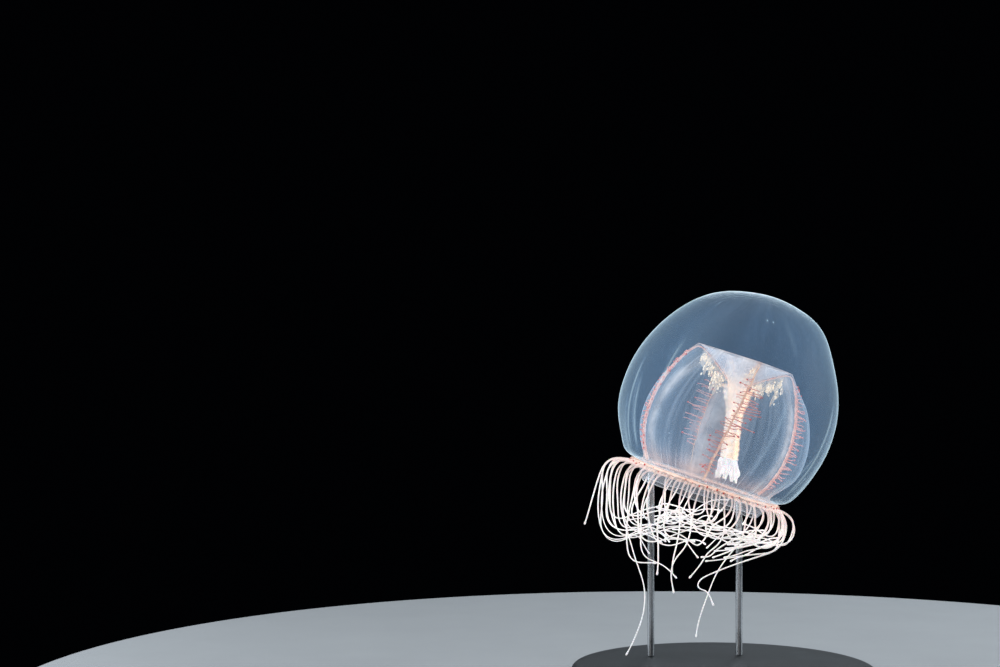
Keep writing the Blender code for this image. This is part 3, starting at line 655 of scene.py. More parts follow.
@dataclass(frozen=True)
class MottledFinish(Finish):
    """A finish whose colour changes in soft clouds between two."""

    first: Colour
    second: Colour
    scale: float

    def mottle(self, graph: Graph, place: Socket) -> tuple[Socket, Socket]:
        """Places the clouds.

        Args:
            graph: The material's nodes.
            place: Where on the piece they are read.

        Returns:
            The colour and the height of the clouds.
        """
        colours = {"First": rgba(self.first), "Second": rgba(self.second)}
        outputs = graph.group(graph.shared.mottle, Vector=place, Scale=self.scale, **colours)
        return outputs["Color"], outputs["Height"]


@dataclass(frozen=True)
class TissueFinish(MottledFinish):
    """Soft moist tissue with a cloudy colour and fine wrinkles, more see-through at its edges or not."""

    alpha: float = 1.0
    edge_alpha: float = 1.0
    edge_at: float = 1.0
    fades: bool = False
    bump: float = 0.25

    def looks(self, graph: Graph) -> dict[str, Socket]:
        """The tissue's colour, wrinkles and density. A "fade" value in the mesh may thin it out.

        Args:
            graph: The material's nodes.

        Returns:
            What feeds the shader.
        """
        colour, height = self.mottle(graph, self.own_place(graph))
        looks = {**self.both(colour), "Normal": graph.bump(height, self.bump, 0.1)}
        if self.alpha < 1.0 or self.edge_alpha < 1.0:
            alpha = graph.span(graph.facing(), 0.0, self.edge_at, self.alpha, self.edge_alpha)
            looks["Alpha"] = graph.math("MULTIPLY", alpha, graph.attribute("fade")) if self.fades else alpha
        return looks


@dataclass(frozen=True)
class TentacleFinish(MottledFinish):
    """Pink and see-through at the root, and white further down, with fine rings all along."""

    first: Colour = (1.0, 0.93, 0.91)
    second: Colour = (1.0, 0.97, 0.95)
    scale: float = 500.0
    root: Colour = (0.98, 0.80, 0.76)
    tip: Colour = (0.96, 0.96, 1.0)
    tip_share: float = 0.7
    root_alpha: float = 0.36
    most_alpha: float = 0.97
    ring_spacing: float = 0.32

    def looks(self, graph: Graph) -> dict[str, Socket]:
        """The skin's colour, rings and density. The mesh's "along" value runs from 0 at the root, in metres.

        Args:
            graph: The material's nodes.

        Returns:
            What feeds the shader.
        """
        place = self.own_place(graph)
        along = graph.attribute("along")
        near, far = graph.span(along, 0.001, 0.014), graph.span(along, 0.020, 0.045)
        colour = graph.mix(near, rgba(self.root), self.mottle(graph, place)[0])
        colour = graph.mix(graph.math("MULTIPLY", far, self.tip_share), colour, rgba(self.tip))
        cloud = graph.noise(place, 420.0, 3.0)
        wave = graph.math("SINE", graph.math("MULTIPLY", along, 2 * pi / (self.ring_spacing * MM)))
        height = graph.math("ADD", graph.math("MULTIPLY", wave, 0.5), cloud)
        solid = graph.math("ADD", near, graph.math("MULTIPLY", graph.math("SUBTRACT", cloud, 0.5), 0.5))
        alpha = graph.span(solid, 0.0, 1.0, self.root_alpha, self.most_alpha)
        return {**self.both(colour), "Normal": graph.bump(height, 0.35, 0.06), "Alpha": alpha}


@dataclass(frozen=True)
class BoardFinish(MottledFinish):
    """Satin painted board, with a fine grain and slightly rubbed."""

    first: Colour = (0.012, 0.014, 0.018)
    second: Colour = (0.03, 0.032, 0.036)
    scale: float = 60.0
    grain: float = 2500.0

    def looks(self, graph: Graph) -> dict[str, Socket]:
        """The paint's colour, grain and rubbed places.

        Args:
            graph: The material's nodes.

        Returns:
            What feeds the shader.
        """
        place = graph.add("ShaderNodeTexCoord").outputs["Object"]
        colour, height = self.mottle(graph, place)
        rough = graph.span(height, 0.3, 0.7, self.roughness - 0.06, self.roughness + 0.08)
        normal = graph.bump(graph.noise(place, self.grain, 2.0), 0.12, 0.05)
        return {"Base Color": colour, "Normal": normal, "Roughness": rough}


@dataclass(frozen=True)
class RodFinish(MottledFinish):
    """Polished steel drawn lengthwise."""

    metal: float = 1.0
    first: Colour = (0.62, 0.64, 0.67)
    second: Colour = (0.50, 0.52, 0.55)
    scale: float = 6000.0
    drawn: float = 0.03  # how little the clouds change along the rod

    def looks(self, graph: Graph) -> dict[str, Socket]:
        """The steel's colour and fine streaks.

        Args:
            graph: The material's nodes.

        Returns:
            What feeds the shader.
        """
        place = graph.add("ShaderNodeTexCoord").outputs["Object"]
        colour, height = self.mottle(graph, graph.vector("MULTIPLY", place, (1.0, 1.0, self.drawn)))
        rough = graph.span(height, 0.3, 0.7, self.roughness - 0.05, self.roughness + 0.1)
        return {"Base Color": colour, "Roughness": rough}


WHITE = (1.0, 0.98, 0.95)
# Each finish's emission here is painted light: the tissue glows though it is no lamp, most of all the
# stomach, the lips and the grains.
FINISHES: tuple[Finish, ...] = (
    JellyFinish("jelly", roughness=0.3, glow=0.28, index=1.2),
    VeilFinish("veil", glow=0.15, index=1.2),
    TissueFinish(
        "stomach",
        (1.0, 0.68, 0.44),
        (1.0, 0.90, 0.80),
        320.0,
        0.95,
        0.03,
        0.64,
        fades=True,
        glow=0.72,
        scatter=0.2,
    ),
    TissueFinish("lips", (1.0, 0.93, 0.88), WHITE, 900.0, bump=0.5, glow=0.48, scatter=0.3),
    TissueFinish("canal", (0.86, 0.53, 0.32), (0.98, 0.75, 0.54), 700.0, 0.9, 0.2, glow=0.22),
    TissueFinish("pale canal", (0.95, 0.48, 0.36), (1.0, 0.78, 0.68), 500.0, 0.8, 0.1, glow=0.20),
    TissueFinish("branch", (0.88, 0.28, 0.20), (0.96, 0.50, 0.40), 700.0, 0.85, glow=0.12),
    TissueFinish("knob", (0.66, 0.05, 0.04), (0.80, 0.16, 0.10), 2000.0, glow=0.10),
    TissueFinish("gonad", (0.86, 0.78, 0.70), (0.99, 0.90, 0.76), 1400.0, 0.42, 0.75, fades=True, glow=0.12),
    TissueFinish("egg", (1.0, 0.80, 0.52), (1.0, 0.96, 0.86), 1500.0, glow=0.45),
    TissueFinish("margin", (0.98, 0.66, 0.52), (1.0, 0.86, 0.78), 500.0, 0.25, 0.35, glow=0.15),
    TissueFinish("ring canal", (1.0, 0.62, 0.46), (1.0, 0.88, 0.80), 450.0, 0.75, 0.1, glow=0.4),
    TissueFinish("eyespot", (0.45, 0.01, 0.01), (0.70, 0.05, 0.04), 2000.0, glow=0.05),
    TissueFinish("streak", (0.80, 0.84, 0.92), (0.98, 0.98, 1.0), 700.0, 0.25, glow=0.08),
    TentacleFinish("tentacle", glow=0.36, scatter=0.15),
    BoardFinish("board", roughness=0.6, index=1.25),
    RodFinish("steel", roughness=0.22),
)


# ---- Geometry Nodes


@dataclass
class Strand:
    """A line with its widths, for a round skin."""

    line: Array
    widths: Array
    frame: Matrix = field(default_factory=lambda: TO_ROW.copy())


@dataclass
class Spot:
    """Where a copy of an item stands, in the medusa's own frame."""

    place: Vector
    up: Vector
    size: Point = (1.0, 1.0, 1.0)
    side: Vector = field(default_factory=lambda: Vector((0.0, 0.0, 1.0)))

    def turn(self) -> Point:
        """The turn in the row frame that stands the item's +Z along up and its +X towards side.

        Returns:
            The turn, as three angles.
        """
        up = self.up.normalized()
        side = self.side - up * self.side.dot(up)
        side = side.normalized() if side.length > 1e-6 else up.orthogonal().normalized()
        own = Matrix((side, up.cross(side), up)).transposed()
        return tuple((TO_ROW.to_3x3() @ own).to_euler())


class Trees:
    """The Geometry Nodes trees: one sweeps a round skin along lines, and one sets an item at each point."""

    def __init__(self) -> None:
        """Builds both trees."""
        self.sweep, self.sweep_keys = self._sweep()
        self.scatter, self.scatter_keys = self._scatter()

    @staticmethod
    def _close(graph: Graph, shape: Socket, material: Socket) -> NodeTree:
        """Ends a tree in real meshes that are dressed.

        Args:
            graph: The tree's graph.
            shape: What the tree has built.
            material: What it is covered with.

        Returns:
            The tree.
        """
        real = graph.out("GeometryNodeRealizeInstances", {0: shape})
        dressed = graph.out("GeometryNodeSetMaterial", {0: real, "Material": material})
        graph.add("NodeGroupOutput", {0: dressed})
        return graph.tree

    def _sweep(self) -> tuple[NodeTree, dict[str, str]]:
        """Lines of edges, each point with its "width", become round closed skins with a baking map.

        Returns:
            The tree and its inputs' identifiers.
        """
        inputs = {"Geometry": "Geometry", "Sides": 8, "Strips": 1, "Material": "Material"}
        made = {"Geometry": "Geometry"}
        graph, given, keys = new_tree("Sweep along lines", "GeometryNodeTree", inputs, made)
        store = "GeometryNodeStoreNamedAttribute"
        lines = graph.out("GeometryNodeMeshToCurve", {0: given["Geometry"]})
        ring = graph.out("GeometryNodeCurvePrimitiveCircle", {"Resolution": given["Sides"], "Radius": 1.0})
        turn = graph.add("GeometryNodeSplineParameter").outputs["Factor"]
        marked = {"Geometry": ring, "Name": "around", "Value": turn}
        ring = graph.out(store, marked, data_type="FLOAT", domain="POINT")
        swept = {"Curve": lines, "Profile Curve": ring, "Scale": graph.named("width"), "Fill Caps": True}
        skin = graph.out("GeometryNodeCurveToMesh", swept)
        strip = graph.math("ADD", graph.named("strip"), graph.named("around"))
        across = graph.math("DIVIDE", strip, given["Strips"])
        where = graph.out("ShaderNodeCombineXYZ", {0: graph.named("share"), 1: across})
        mapped = {"Geometry": skin, "Name": "OFBake", "Value": where}
        skin = graph.out(store, mapped, data_type="FLOAT2", domain="CORNER")
        smooth = graph.out("GeometryNodeSetShadeSmooth", {0: skin})
        return self._close(graph, smooth, given["Material"]), keys

    def _scatter(self) -> tuple[NodeTree, dict[str, str]]:
        """An item is set at each point, with the point's "turn" and "size" and a seeded change of size.

        Returns:
            The tree and its inputs' identifiers.
        """
        inputs = {"Geometry": "Geometry", "Item": "Object", "Uneven": 0.1, "Seed": 3, "Material": "Material"}
        made = {"Geometry": "Geometry"}
        graph, given, keys = new_tree("Item at each point", "GeometryNodeTree", inputs, made)
        item = graph.add("GeometryNodeObjectInfo", {"Object": given["Item"], "As Instance": True})
        turn = graph.out("FunctionNodeEulerToRotation", {0: graph.named("turn", "FLOAT_VECTOR")})
        low, high = (graph.math(sign, 1.0, given["Uneven"]) for sign in ("SUBTRACT", "ADD"))
        limits = {2: low, 3: high, "Seed": given["Seed"]}
        chance = graph.add("FunctionNodeRandomValue", limits, data_type="FLOAT")
        size = graph.vector("SCALE", graph.named("size", "FLOAT_VECTOR"), scale=chance.outputs[1])
        set_out = {"Instance": item.outputs["Geometry"], "Rotation": turn, "Scale": size}
        items = graph.out("GeometryNodeInstanceOnPoints", {"Points": given["Geometry"], **set_out})
        return self._close(graph, items, given["Material"]), keys

    @staticmethod
    def _run(mesh: Mesh, tree: NodeTree, values: dict[str, object]) -> Mesh:
        """Runs a tree on a mesh, and takes the result as a plain mesh.

        Args:
            mesh: The mesh, which is used up.
            tree: The tree.
            values: The modifier's inputs, by identifier.

        Returns:
            The result.
        """
        carrier = new_object(mesh.name, mesh)
        modifier = carrier.modifiers.new("nodes", "NODES")
        modifier.node_group = tree
        for key, value in values.items():
            modifier[key] = value
        bpy.context.view_layer.update()
        graph = bpy.context.evaluated_depsgraph_get()
        made = bpy.data.meshes.new_from_object(carrier.evaluated_get(graph), depsgraph=graph)
        carrier.modifiers.remove(modifier)
        bpy.data.objects.remove(carrier, do_unlink=True)
        return made

    def tubes(
        self,
        name: str,
        strands: Sequence[Strand],
        sides: int,
        material: Material,
        slot: str,
        nodes: Sequence[str] = (),
    ) -> None:
        """A piece of round closed skins along lines.

        Args:
            name, material, nodes: As finish_piece takes them.
            strands: The lines with their widths.
            sides: How many sides each skin has.
            slot: Not used.
        """
        points, edges = [], []
        values: dict[str, list[float]] = {"width": [], "along": [], "share": [], "strip": []}
        for number, strand in enumerate(strands):
            first = len(points)
            lengths = lengths_along(strand.line)
            points += (placed(strand.line, strand.frame) * MM).tolist()
            edges += [(first + k, first + k + 1) for k in range(len(strand.line) - 1)]
            values["width"] += (strand.widths * MM / 2).tolist()
            values["along"] += (lengths * MM).tolist()
            values["share"] += (lengths / lengths[-1]).tolist()
            values["strip"] += [float(number)] * len(strand.line)
        mesh = bpy.data.meshes.new(name + "_lines")
        mesh.from_pydata(points, edges, [])
        for label, numbers in values.items():
            add_values(mesh, label, np.array(numbers))
        keys = self.sweep_keys
        inputs = {keys["Sides"]: sides, keys["Strips"]: len(strands), keys["Material"]: material}
        made = self._run(mesh, self.sweep, inputs)
        turn_outwards(made)
        finish_piece(name, made, material, nodes)

    def items(
        self,
        name: str,
        item: Mesh,
        spots: Sequence[Spot],
        material: Material,
        slot: str,
        nodes: Sequence[str] = (),
        uneven: float = 0.3,
    ) -> None:
        """A piece of copies of an item, one at each spot.

        Args:
            name, material, nodes: As finish_piece takes them.
            item: The item's mesh, in metres, about its own origin and standing along +Z.
            spots: Where, which way and how large.
            uneven: How much their size changes by chance.
            slot: Not used.
        """
        mesh = bpy.data.meshes.new(name + "_spots")
        mesh.from_pydata([tuple((TO_ROW @ spot.place) * MM) for spot in spots], [], [])
        add_values(mesh, "turn", np.array([spot.turn() for spot in spots]), "FLOAT_VECTOR")
        add_values(mesh, "size", np.array([spot.size for spot in spots]), "FLOAT_VECTOR")
        pattern = new_object(name + "_item", item)
        keys = self.scatter_keys
        inputs = {keys["Item"]: pattern, keys["Uneven"]: uneven, keys["Material"]: material}
        made = self._run(mesh, self.scatter, inputs)
        made.shade_smooth()
        bpy.data.objects.remove(pattern, do_unlink=True)
        finish_piece(name, made, material, nodes)


# ---- the shape of the bell


@dataclass
class BellShape:
    """The bell's outside and the four-cornered hollow in it, as functions of height and angle."""

    radius: float = 30.0
    height: float = 54.5
    widest_at: float = 18.0
    lower_height: float = 28.1
    foot: float = 0.3
    canals: int = 4
    canal_turn: float = 10.0
    canal_stray: tuple[float, ...] = (12.0, 0.0, -2.0, -19.0)  # how far each canal's foot is turned
    canal_top: float = 34.6
    hollow_radius: float = 22.1
    hollow_widest_at: float = 14.0
    hollow_upper: float = 28.2
    hollow_lower: float = 22.2
    swell_depths: tuple[float, ...] = (1.2, 0.75, 1.2, 2.3)  # after each canal, towards larger angles
    swell_width: float = 15.0
    swell_fade: float = 9.0
    roof_at: float = 35.7
    roof_squareness: float = 1.25
    roof_dip: float = 9.2
    roof_power: float = 1.25
    roof_inner: float = 0.25
    peduncle_low: float = 21.0
    peduncle_low_radius: float = 1.5
    sway_at_mouth: float = 5.4
    mouth_low: float = 2.6
    packed_slack: float = 0.5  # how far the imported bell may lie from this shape

    def outer_radius(self, height: float) -> float:
        """The outside radius at a height over the margin.

        Args:
            height: The height.

        Returns:
            The radius.
        """
        reach = self.height - self.widest_at if height > self.widest_at else self.lower_height
        share = (height - self.widest_at) / reach
        return self.radius * sqrt(max(0.0, 1 - share * share))

    def corner_radius(self, height: float) -> float:
        """The hollow's radius at a height, along a canal.

        Args:
            height: The height.

        Returns:
            The radius.
        """
        reach = self.hollow_upper if height > self.hollow_widest_at else self.hollow_lower
        share = (height - self.hollow_widest_at) / reach
        return self.hollow_radius * sqrt(1 - share * share)

    def outline(self, height: float, angle: Numbers) -> Array:
        """The hollow's radius as a share of that along a canal.

        Args:
            height: The height.
            angle: The angle or angles.

        Returns:
            The share at each angle.
        """
        rise = float(smooth_step(self.hollow_widest_at, self.roof_at, height))
        power = 2.0 + (self.roof_squareness - 2.0) * rise
        turned = np.radians(np.asarray(angle, float) - self.canal_turn)
        return (np.abs(np.cos(turned)) ** power + np.abs(np.sin(turned)) ** power) ** (-1.0 / power)

    def roof_height(self, share: float) -> float:
        """The roof's height at a share of the way out from the axis."""
        return self.roof_at - self.roof_dip * (1 - share) ** self.roof_power

    def hollow(self, height: float, angle: Numbers) -> Array:
        """The hollow's radius, with the wall's swell between the canals.

        Args:
            height: The height.
            angle: The angle or angles.

        Returns:
            The radius at each angle.
        """
        angles = np.asarray(angle, float)
        reach = smooth_step(0.8, self.swell_fade, height)
        reach = reach * smooth_step(self.roof_at, self.roof_at - self.swell_fade, height)
        swell = np.zeros(angles.shape)
        for number, depth in enumerate(self.swell_depths):
            first = self.canal_angle(number, height)
            gap = (self.canal_angle((number + 1) % self.canals, height) - first) % 360.0
            past = (angles - first) % 360.0
            nearest = np.maximum(np.minimum(past, gap - past), 0.0)
            swell = swell + depth * reach * (1 - fade_from(nearest, self.swell_width))
        return self.corner_radius(height) * self.outline(height, angles) + swell

    def wall(self, height: float, angle: float, inwards: float = 0.0) -> Vector:
        """A point on the hollow's wall, or that far inside it.

        Args:
            height: The point's height.
            angle: Its angle.
            inwards: How far it lies inside the wall.

        Returns:
            The point.
        """
        radius = float(self.hollow(height, angle)) - inwards
        turned = radians(angle)
        return Vector((radius * cos(turned), radius * sin(turned), height))

    def canal_angle(self, number: int, height: float = 99.0) -> float:
        """The angle of one of the four canals, which strays from its corner lower down."""
        down = max(0.0, 1.0 - height / self.canal_top)
        return self.canal_turn + 360.0 * number / self.canals + self.canal_stray[number] * down**0.6

    def sway(self, height: float) -> float:
        """How far the stomach's middle has swung towards +X at a height."""
        top = self.roof_height(self.roof_inner)
        return self.sway_at_mouth * (top - min(height, top)) / (top - self.mouth_low)

    def lobed_ring(self, radius: Numbers, height: Numbers, angles: Array) -> Array:
        """A ring of points round the stomach's swaying middle line."""
        middle = np.array([self.sway(float(h)) for h in np.broadcast_to(height, angles.shape)])
        return ring_points(radius, height, angles, middle)

    def check(self) -> None:
        """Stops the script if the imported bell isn't where this shape says.

        Raises:
            ValueError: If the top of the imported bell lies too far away.
        """
        top = max((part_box("bell_apex")[1].z - MARGIN_CENTRE[2] * MM) / MM, 0.0)
        sideways = sin(radians(LEAN)) ** 2 * self.radius**2
        upright = cos(radians(LEAN)) ** 2 * (self.height - self.widest_at) ** 2
        wanted = self.widest_at * cos(radians(LEAN)) + sqrt(sideways + upright)
        if abs(top - wanted) > self.packed_slack:
            raise ValueError(f"the packed bell reaches {top:.2f} mm over the margin, and not {wanted:.2f}")


@dataclass
class Part:
    """What every sub-assembly is built with: the bell's shape, the trees and the materials by finish."""

    shape: BellShape
    trees: Trees
    looks: dict[str, Material]


@dataclass(frozen=True)
class Fold:
    """A soft lengthwise crease in the outside of the bell, drawn as a painted bright line: denser jelly in
    the pale rim colour, which glows.
    """

    angle: float  # at its lower end
    low: float
    high: float
    slope: float = 0.0  # degrees of turn for each millimetre of height
    width: float = 0.5
    strength: float = 1.0
    fade: float = 5.0  # how far each end takes to fade


@dataclass(frozen=True)
class Bulge:
    """A soft place where the bell stands out from its plain shape, or in where out is below 0."""

    side: float  # its middle, towards +X
    height: float
    width: float
    out: float


@dataclass(frozen=True)
class Haze:
    """A cloudy strip in the hollow's wall, beside one of the canals."""

    canal: int
    beside: float  # how far beside the canal, towards larger angles
    width: float
    strength: float


@dataclass
class Bell(Part):
    """The bell of clear jelly, its hollow and the peduncle that hangs from the roof, as one closed skin."""

    columns: int = 360
    dome_rings: int = 40
    lower_rings: int = 26
    foot_rings: int = 6
    wall_rings: int = 44
    roof_rings: int = 18
    peduncle_rings: int = 16
    peduncle_lobes: float = 0.10
    foot_round: float = 0.9
    fold_depth: float = 0.34
    dome_calm: float = 6.0  # the radius within which the waves fade towards the top
    canal_band: float = 1.1
    canal_shares: tuple[float, ...] = (1.0, 0.12, 1.0, 0.8)  # how clearly each canal's band shows
    bulges: tuple[Bulge, ...] = (
        Bulge(16.5, 49.5, 8.0, 1.5),
        Bulge(30.0, 11.0, 13.0, -1.35),
        Bulge(-5.0, 55.0, 8.0, -0.6),
        Bulge(-29.5, 27.0, 11.0, 0.45),
        Bulge(-28.0, 4.5, 6.0, -0.6),
    )
    bulge_depth: float = 1.6  # how much further a bulge reaches from front to back
    hazes: tuple[Haze, ...] = (
        Haze(3, -3.0, 3.4, 1.0),
        Haze(3, 2.2, 2.4, 0.6),
        Haze(2, 8.0, 2.4, 0.85),
        Haze(0, 3.6, 2.2, 0.8),
        Haze(1, -1.5, 3.5, 0.8),
    )
    # Creases in the outside drawn as painted bright lines; the short ones high on the dome are painted
    # glints.
    folds: tuple[Fold, ...] = (
        Fold(-41, 2, 34, 0.45, 0.55, 1),
        Fold(-51, 2, 20, 1, 0.40, 0.8),
        Fold(-30, 2, 30, 0.25, 0.8, 0.45),
        Fold(-12, 6, 34, -0.3, 0.7, 0.35),
        Fold(203, 1, 30, -0.05, 0.5, 0.8),
        Fold(212, 1, 25, -0.25, 0.5, 0.65),
        Fold(221.5, 16, 38.5, 0.12, 0.42, 0.75),
        Fold(232, 22, 52, 0, 8, 0.16, 8),
        Fold(304, -0.6, 9, 1, 0.45, 1, 1),
        Fold(318, -0.6, 11, 0.8, 0.40, 0.9, 1),
        Fold(292, -0.6, 7, 0.6, 0.45, 0.8, 1),
        Fold(196, 2, 20, 0.2, 0.8, 0.3),
        Fold(296, 38, 53, -0.9, 0.9, 0.22),
        # painted glints: the next five short bright marks high on the dome
        Fold(262, 45.8, 47.4, 9, 0.30, 0.9, 0.6),
        Fold(274, 46.2, 47.8, 3, 0.22, 1, 0.5),
        Fold(222, 45.6, 48.6, 0.6, 0.16, 0.8, 0.8),
        Fold(280, 49.6, 51, 12, 0.25, 0.6, 0.5),
        Fold(311, 48.4, 49.8, 3, 0.2, 0.7, 0.5),
        Fold(140, 2, 26, 0.4, 0.8, 0.4),
        Fold(58, 3, 32, -0.3, 0.7, 0.4),
        Fold(92, 2, 18, 0.2, 0.5, 0.4),
    )

    @property
    def angles(self) -> Array:
        """The columns' angles."""
        return all_round(self.columns, self.shape.canal_turn)

    def _wander(self, height: float) -> Array:
        """How far the outside stands off the plain shape: folds at the foot and faint waves above.

        Args:
            height: The ring's height.

        Returns:
            How far, at each column.
        """
        turned = np.radians(self.angles)
        skirt = 1.0 - smooth_step(3.0, 20.0, height)
        folds = np.sin(7 * turned + 0.6) + 0.7 * np.sin(12 * turned + 2.1) + 0.5 * np.sin(19 * turned + 4.0)
        swell = 0.10 * np.sin(3 * turned + 0.09 * height) + 0.07 * np.sin(5 * turned - 0.13 * height)
        return self.fold_depth * skirt * folds / 2.2 + swell * smooth_step(54.5, 48.0, height)

    def _bulged(self, ring: Array) -> Array:
        """A ring of the outside with the soft bulges near it, each square to the plain shape.

        Args:
            ring: The plain ring.

        Returns:
            The ring's points, moved.
        """
        shape = self.shape
        reach = np.where(ring[:, 2:] > shape.widest_at, shape.height - shape.widest_at, shape.lower_height)
        normal = np.hstack([ring[:, :2] / shape.radius**2, (ring[:, 2:] - shape.widest_at) / reach**2])
        normal /= np.linalg.norm(normal, axis=1, keepdims=True)
        out = np.zeros(len(ring))
        for bulge in self.bulges:
            middle = (bulge.side, 0.0, bulge.height)
            off = (ring - middle) / (bulge.width, self.bulge_depth * bulge.width, bulge.width)
            out += bulge.out * np.exp(-(off**2).sum(axis=1))
        return ring + normal * out[:, None]

    def _outside(self) -> list[Array]:
        """The rings from the top of the dome down to the foot.

        Returns:
            The rings.
        """
        shape = self.shape
        dome = shape.height - shape.widest_at
        low = shape.foot + self.foot_round - shape.widest_at
        rises = [dome * cos(radians(90.0 * i / self.dome_rings)) for i in range(self.dome_rings + 1)]
        rises += [low * i / self.lower_rings for i in range(1, self.lower_rings + 1)]
        rings = []
        for rise in rises:
            height = shape.widest_at + rise
            radius = shape.outer_radius(height)
            wander = self._wander(height) * min(1.0, radius / self.dome_calm)
            rings.append(self._bulged(ring_points(radius + wander, height, self.angles)))
        return rings

    def _hollow(self) -> list[Array]:
        """The rings of the hollow's wall from its foot to its roof.

        Returns:
            The rings.
        """
        low = self.shape.foot + self.foot_round * 0.5
        rings = []
        for i in range(self.wall_rings + 1):
            rise = sin(radians(90.0 * i / self.wall_rings)) ** 1.15
            height = low + (self.shape.roof_at - low) * rise
            rings.append(ring_points(self.shape.hollow(height, self.angles), height, self.angles))
        return rings

    def _roof(self) -> list[Array]:
        """The rings from the roof's rim in to the funnel and down the peduncle to its end.

        Returns:
            The rings.
        """
        shape, angles = self.shape, self.angles
        lobes = np.cos(np.radians(shape.canals * (angles - shape.canal_turn)))
        rim = shape.corner_radius(shape.roof_at) * shape.outline(shape.roof_at, angles)
        rings = []
        for i in range(1, self.roof_rings + 1):
            share = 1 - (1 - shape.roof_inner) * i / self.roof_rings
            rings.append(ring_points(share * rim, shape.roof_height(share), angles))
        top = shape.roof_height(shape.roof_inner)
        low = shape.peduncle_low_radius
        for i in range(1, self.peduncle_rings + 1):
            share = i / self.peduncle_rings
            height = top + (shape.peduncle_low - 0.6 - top) * share
            blend = (1 - share) ** 1.6
            radius = low + (rim * shape.roof_inner - low) * blend
            radius = radius * (1 + self.peduncle_lobes * lobes * (1 - blend))
            rings.append(ring_points(radius, height, angles, shape.sway(height)))
        end = shape.sway(shape.peduncle_low)
        rings.append(ring_points(0.0 * rim, shape.peduncle_low - 0.9, angles, end))
        return rings

    def _canal_bands(self, rings: Array, crown: Array) -> tuple[Array, Array]:
        """How near each point of the wall lies to a canal, and to a cloudy strip beside one.

        Args:
            rings: The skin's points.
            crown: 1 over the roof, where the canals run straight, and 0 elsewhere.

        Returns:
            Both masks, from 0 to 1.
        """
        shape = self.shape
        radius = np.hypot(rings[:, :, 0], rings[:, :, 1])
        heights = rings[:, 0, 2] + 99.0 * (crown[:, 0] > 0.5)
        band, haze = np.zeros(radius.shape), np.zeros(radius.shape)
        for number in range(shape.canals):
            course = np.array([shape.canal_angle(number, float(height)) for height in heights])
            beside = radius * np.radians(away_from(self.angles[None, :], course[:, None]))
            band = np.maximum(band, self.canal_shares[number] * fade_from(beside, self.canal_band))
            for strip in self.hazes:
                if strip.canal == number:
                    haze = np.maximum(haze, strip.strength * fade_from(beside - strip.beside, strip.width))
        return band * (1 - crown * 0.4), haze

    def _folds(self, rings: Array) -> Array:
        """How strongly each point of the outside lies on one of the painted bright crease lines or painted
        glints.

        Args:
            rings: The skin's points.

        Returns:
            The mask, from 0 to 1.
        """
        radius = np.hypot(rings[:, :, 0], rings[:, :, 1])
        height = rings[:, :, 2]
        folds = np.zeros(radius.shape)
        for fold in self.folds:
            course = fold.angle + fold.slope * (height - fold.low)
            away = np.radians(away_from(self.angles[None, :], course)) * radius
            reach = smooth_step(fold.low, fold.low + fold.fade, height)
            reach = reach * smooth_step(fold.high, fold.high - 1.6 * fold.fade, height)
            folds = np.maximum(folds, fold.strength * reach * fade_from(away, fold.width))
        return folds

    def _masks(self, rings: Array, wall_start: int, roof_start: int) -> dict[str, Array]:
        """The values that the skin's finish reads.

        Args:
            rings: The skin's points.
            wall_start: The first ring of the hollow's wall.
            roof_start: The first ring of the roof.

        Returns:
            A number for each point, by name.
        """
        row = np.arange(len(rings))[:, None] * np.ones((len(rings), self.columns))
        wall = smooth_step(wall_start - 3, wall_start + 1, row)
        crown = smooth_step(roof_start - 1, roof_start + 2, row)
        band, haze = self._canal_bands(rings, crown)
        stalk_start = roof_start + self.roof_rings
        return {
            "wall": wall,
            "crown": crown,
            "rim": fade_from(row - roof_start + 1, 1.1) * smooth_step(wall_start, roof_start - 4, row),
            "canal": np.maximum(band * wall, 0.8 * fade_from(row - wall_start, 4.0)),
            # painted bright crease lines and glints on the outside
            "fold": self._folds(rings) * (1 - wall),
            "stalk": smooth_step(stalk_start - 6, stalk_start + 1, row),
            "haze": haze * wall * (1 - 0.5 * crown),
        }

    def build(self) -> None:
        """Builds the skin, with the values that its finish reads."""
        outside, hollow, roof = self._outside(), self._hollow(), self._roof()
        foot = []
        for i in range(1, self.foot_rings):
            share = i / self.foot_rings
            ring = outside[-1] + (hollow[0] - outside[-1]) * share
            ring[:, 2] -= self.foot_round * sin(pi * share) ** 0.6
            foot.append(ring)
        rings = np.array(outside + foot + hollow + roof)
        edge = len(outside) - 2
        for _ in range(2):
            blurred = 0.5 * rings[1:-1] + 0.25 * (rings[2:] + rings[:-2])
            rings[edge:-2] = blurred[edge - 1 : -1]
        wall_start = len(outside) + len(foot)
        masks = self._masks(rings, wall_start, wall_start + len(hollow))
        nodes = ["bell_wall", "bell_shoulder", "bell_apex", "peduncle"]
        finish_skin("bell_skin", rings, self.looks["jelly"], nodes, masks)


# ---- what hangs in the hollow


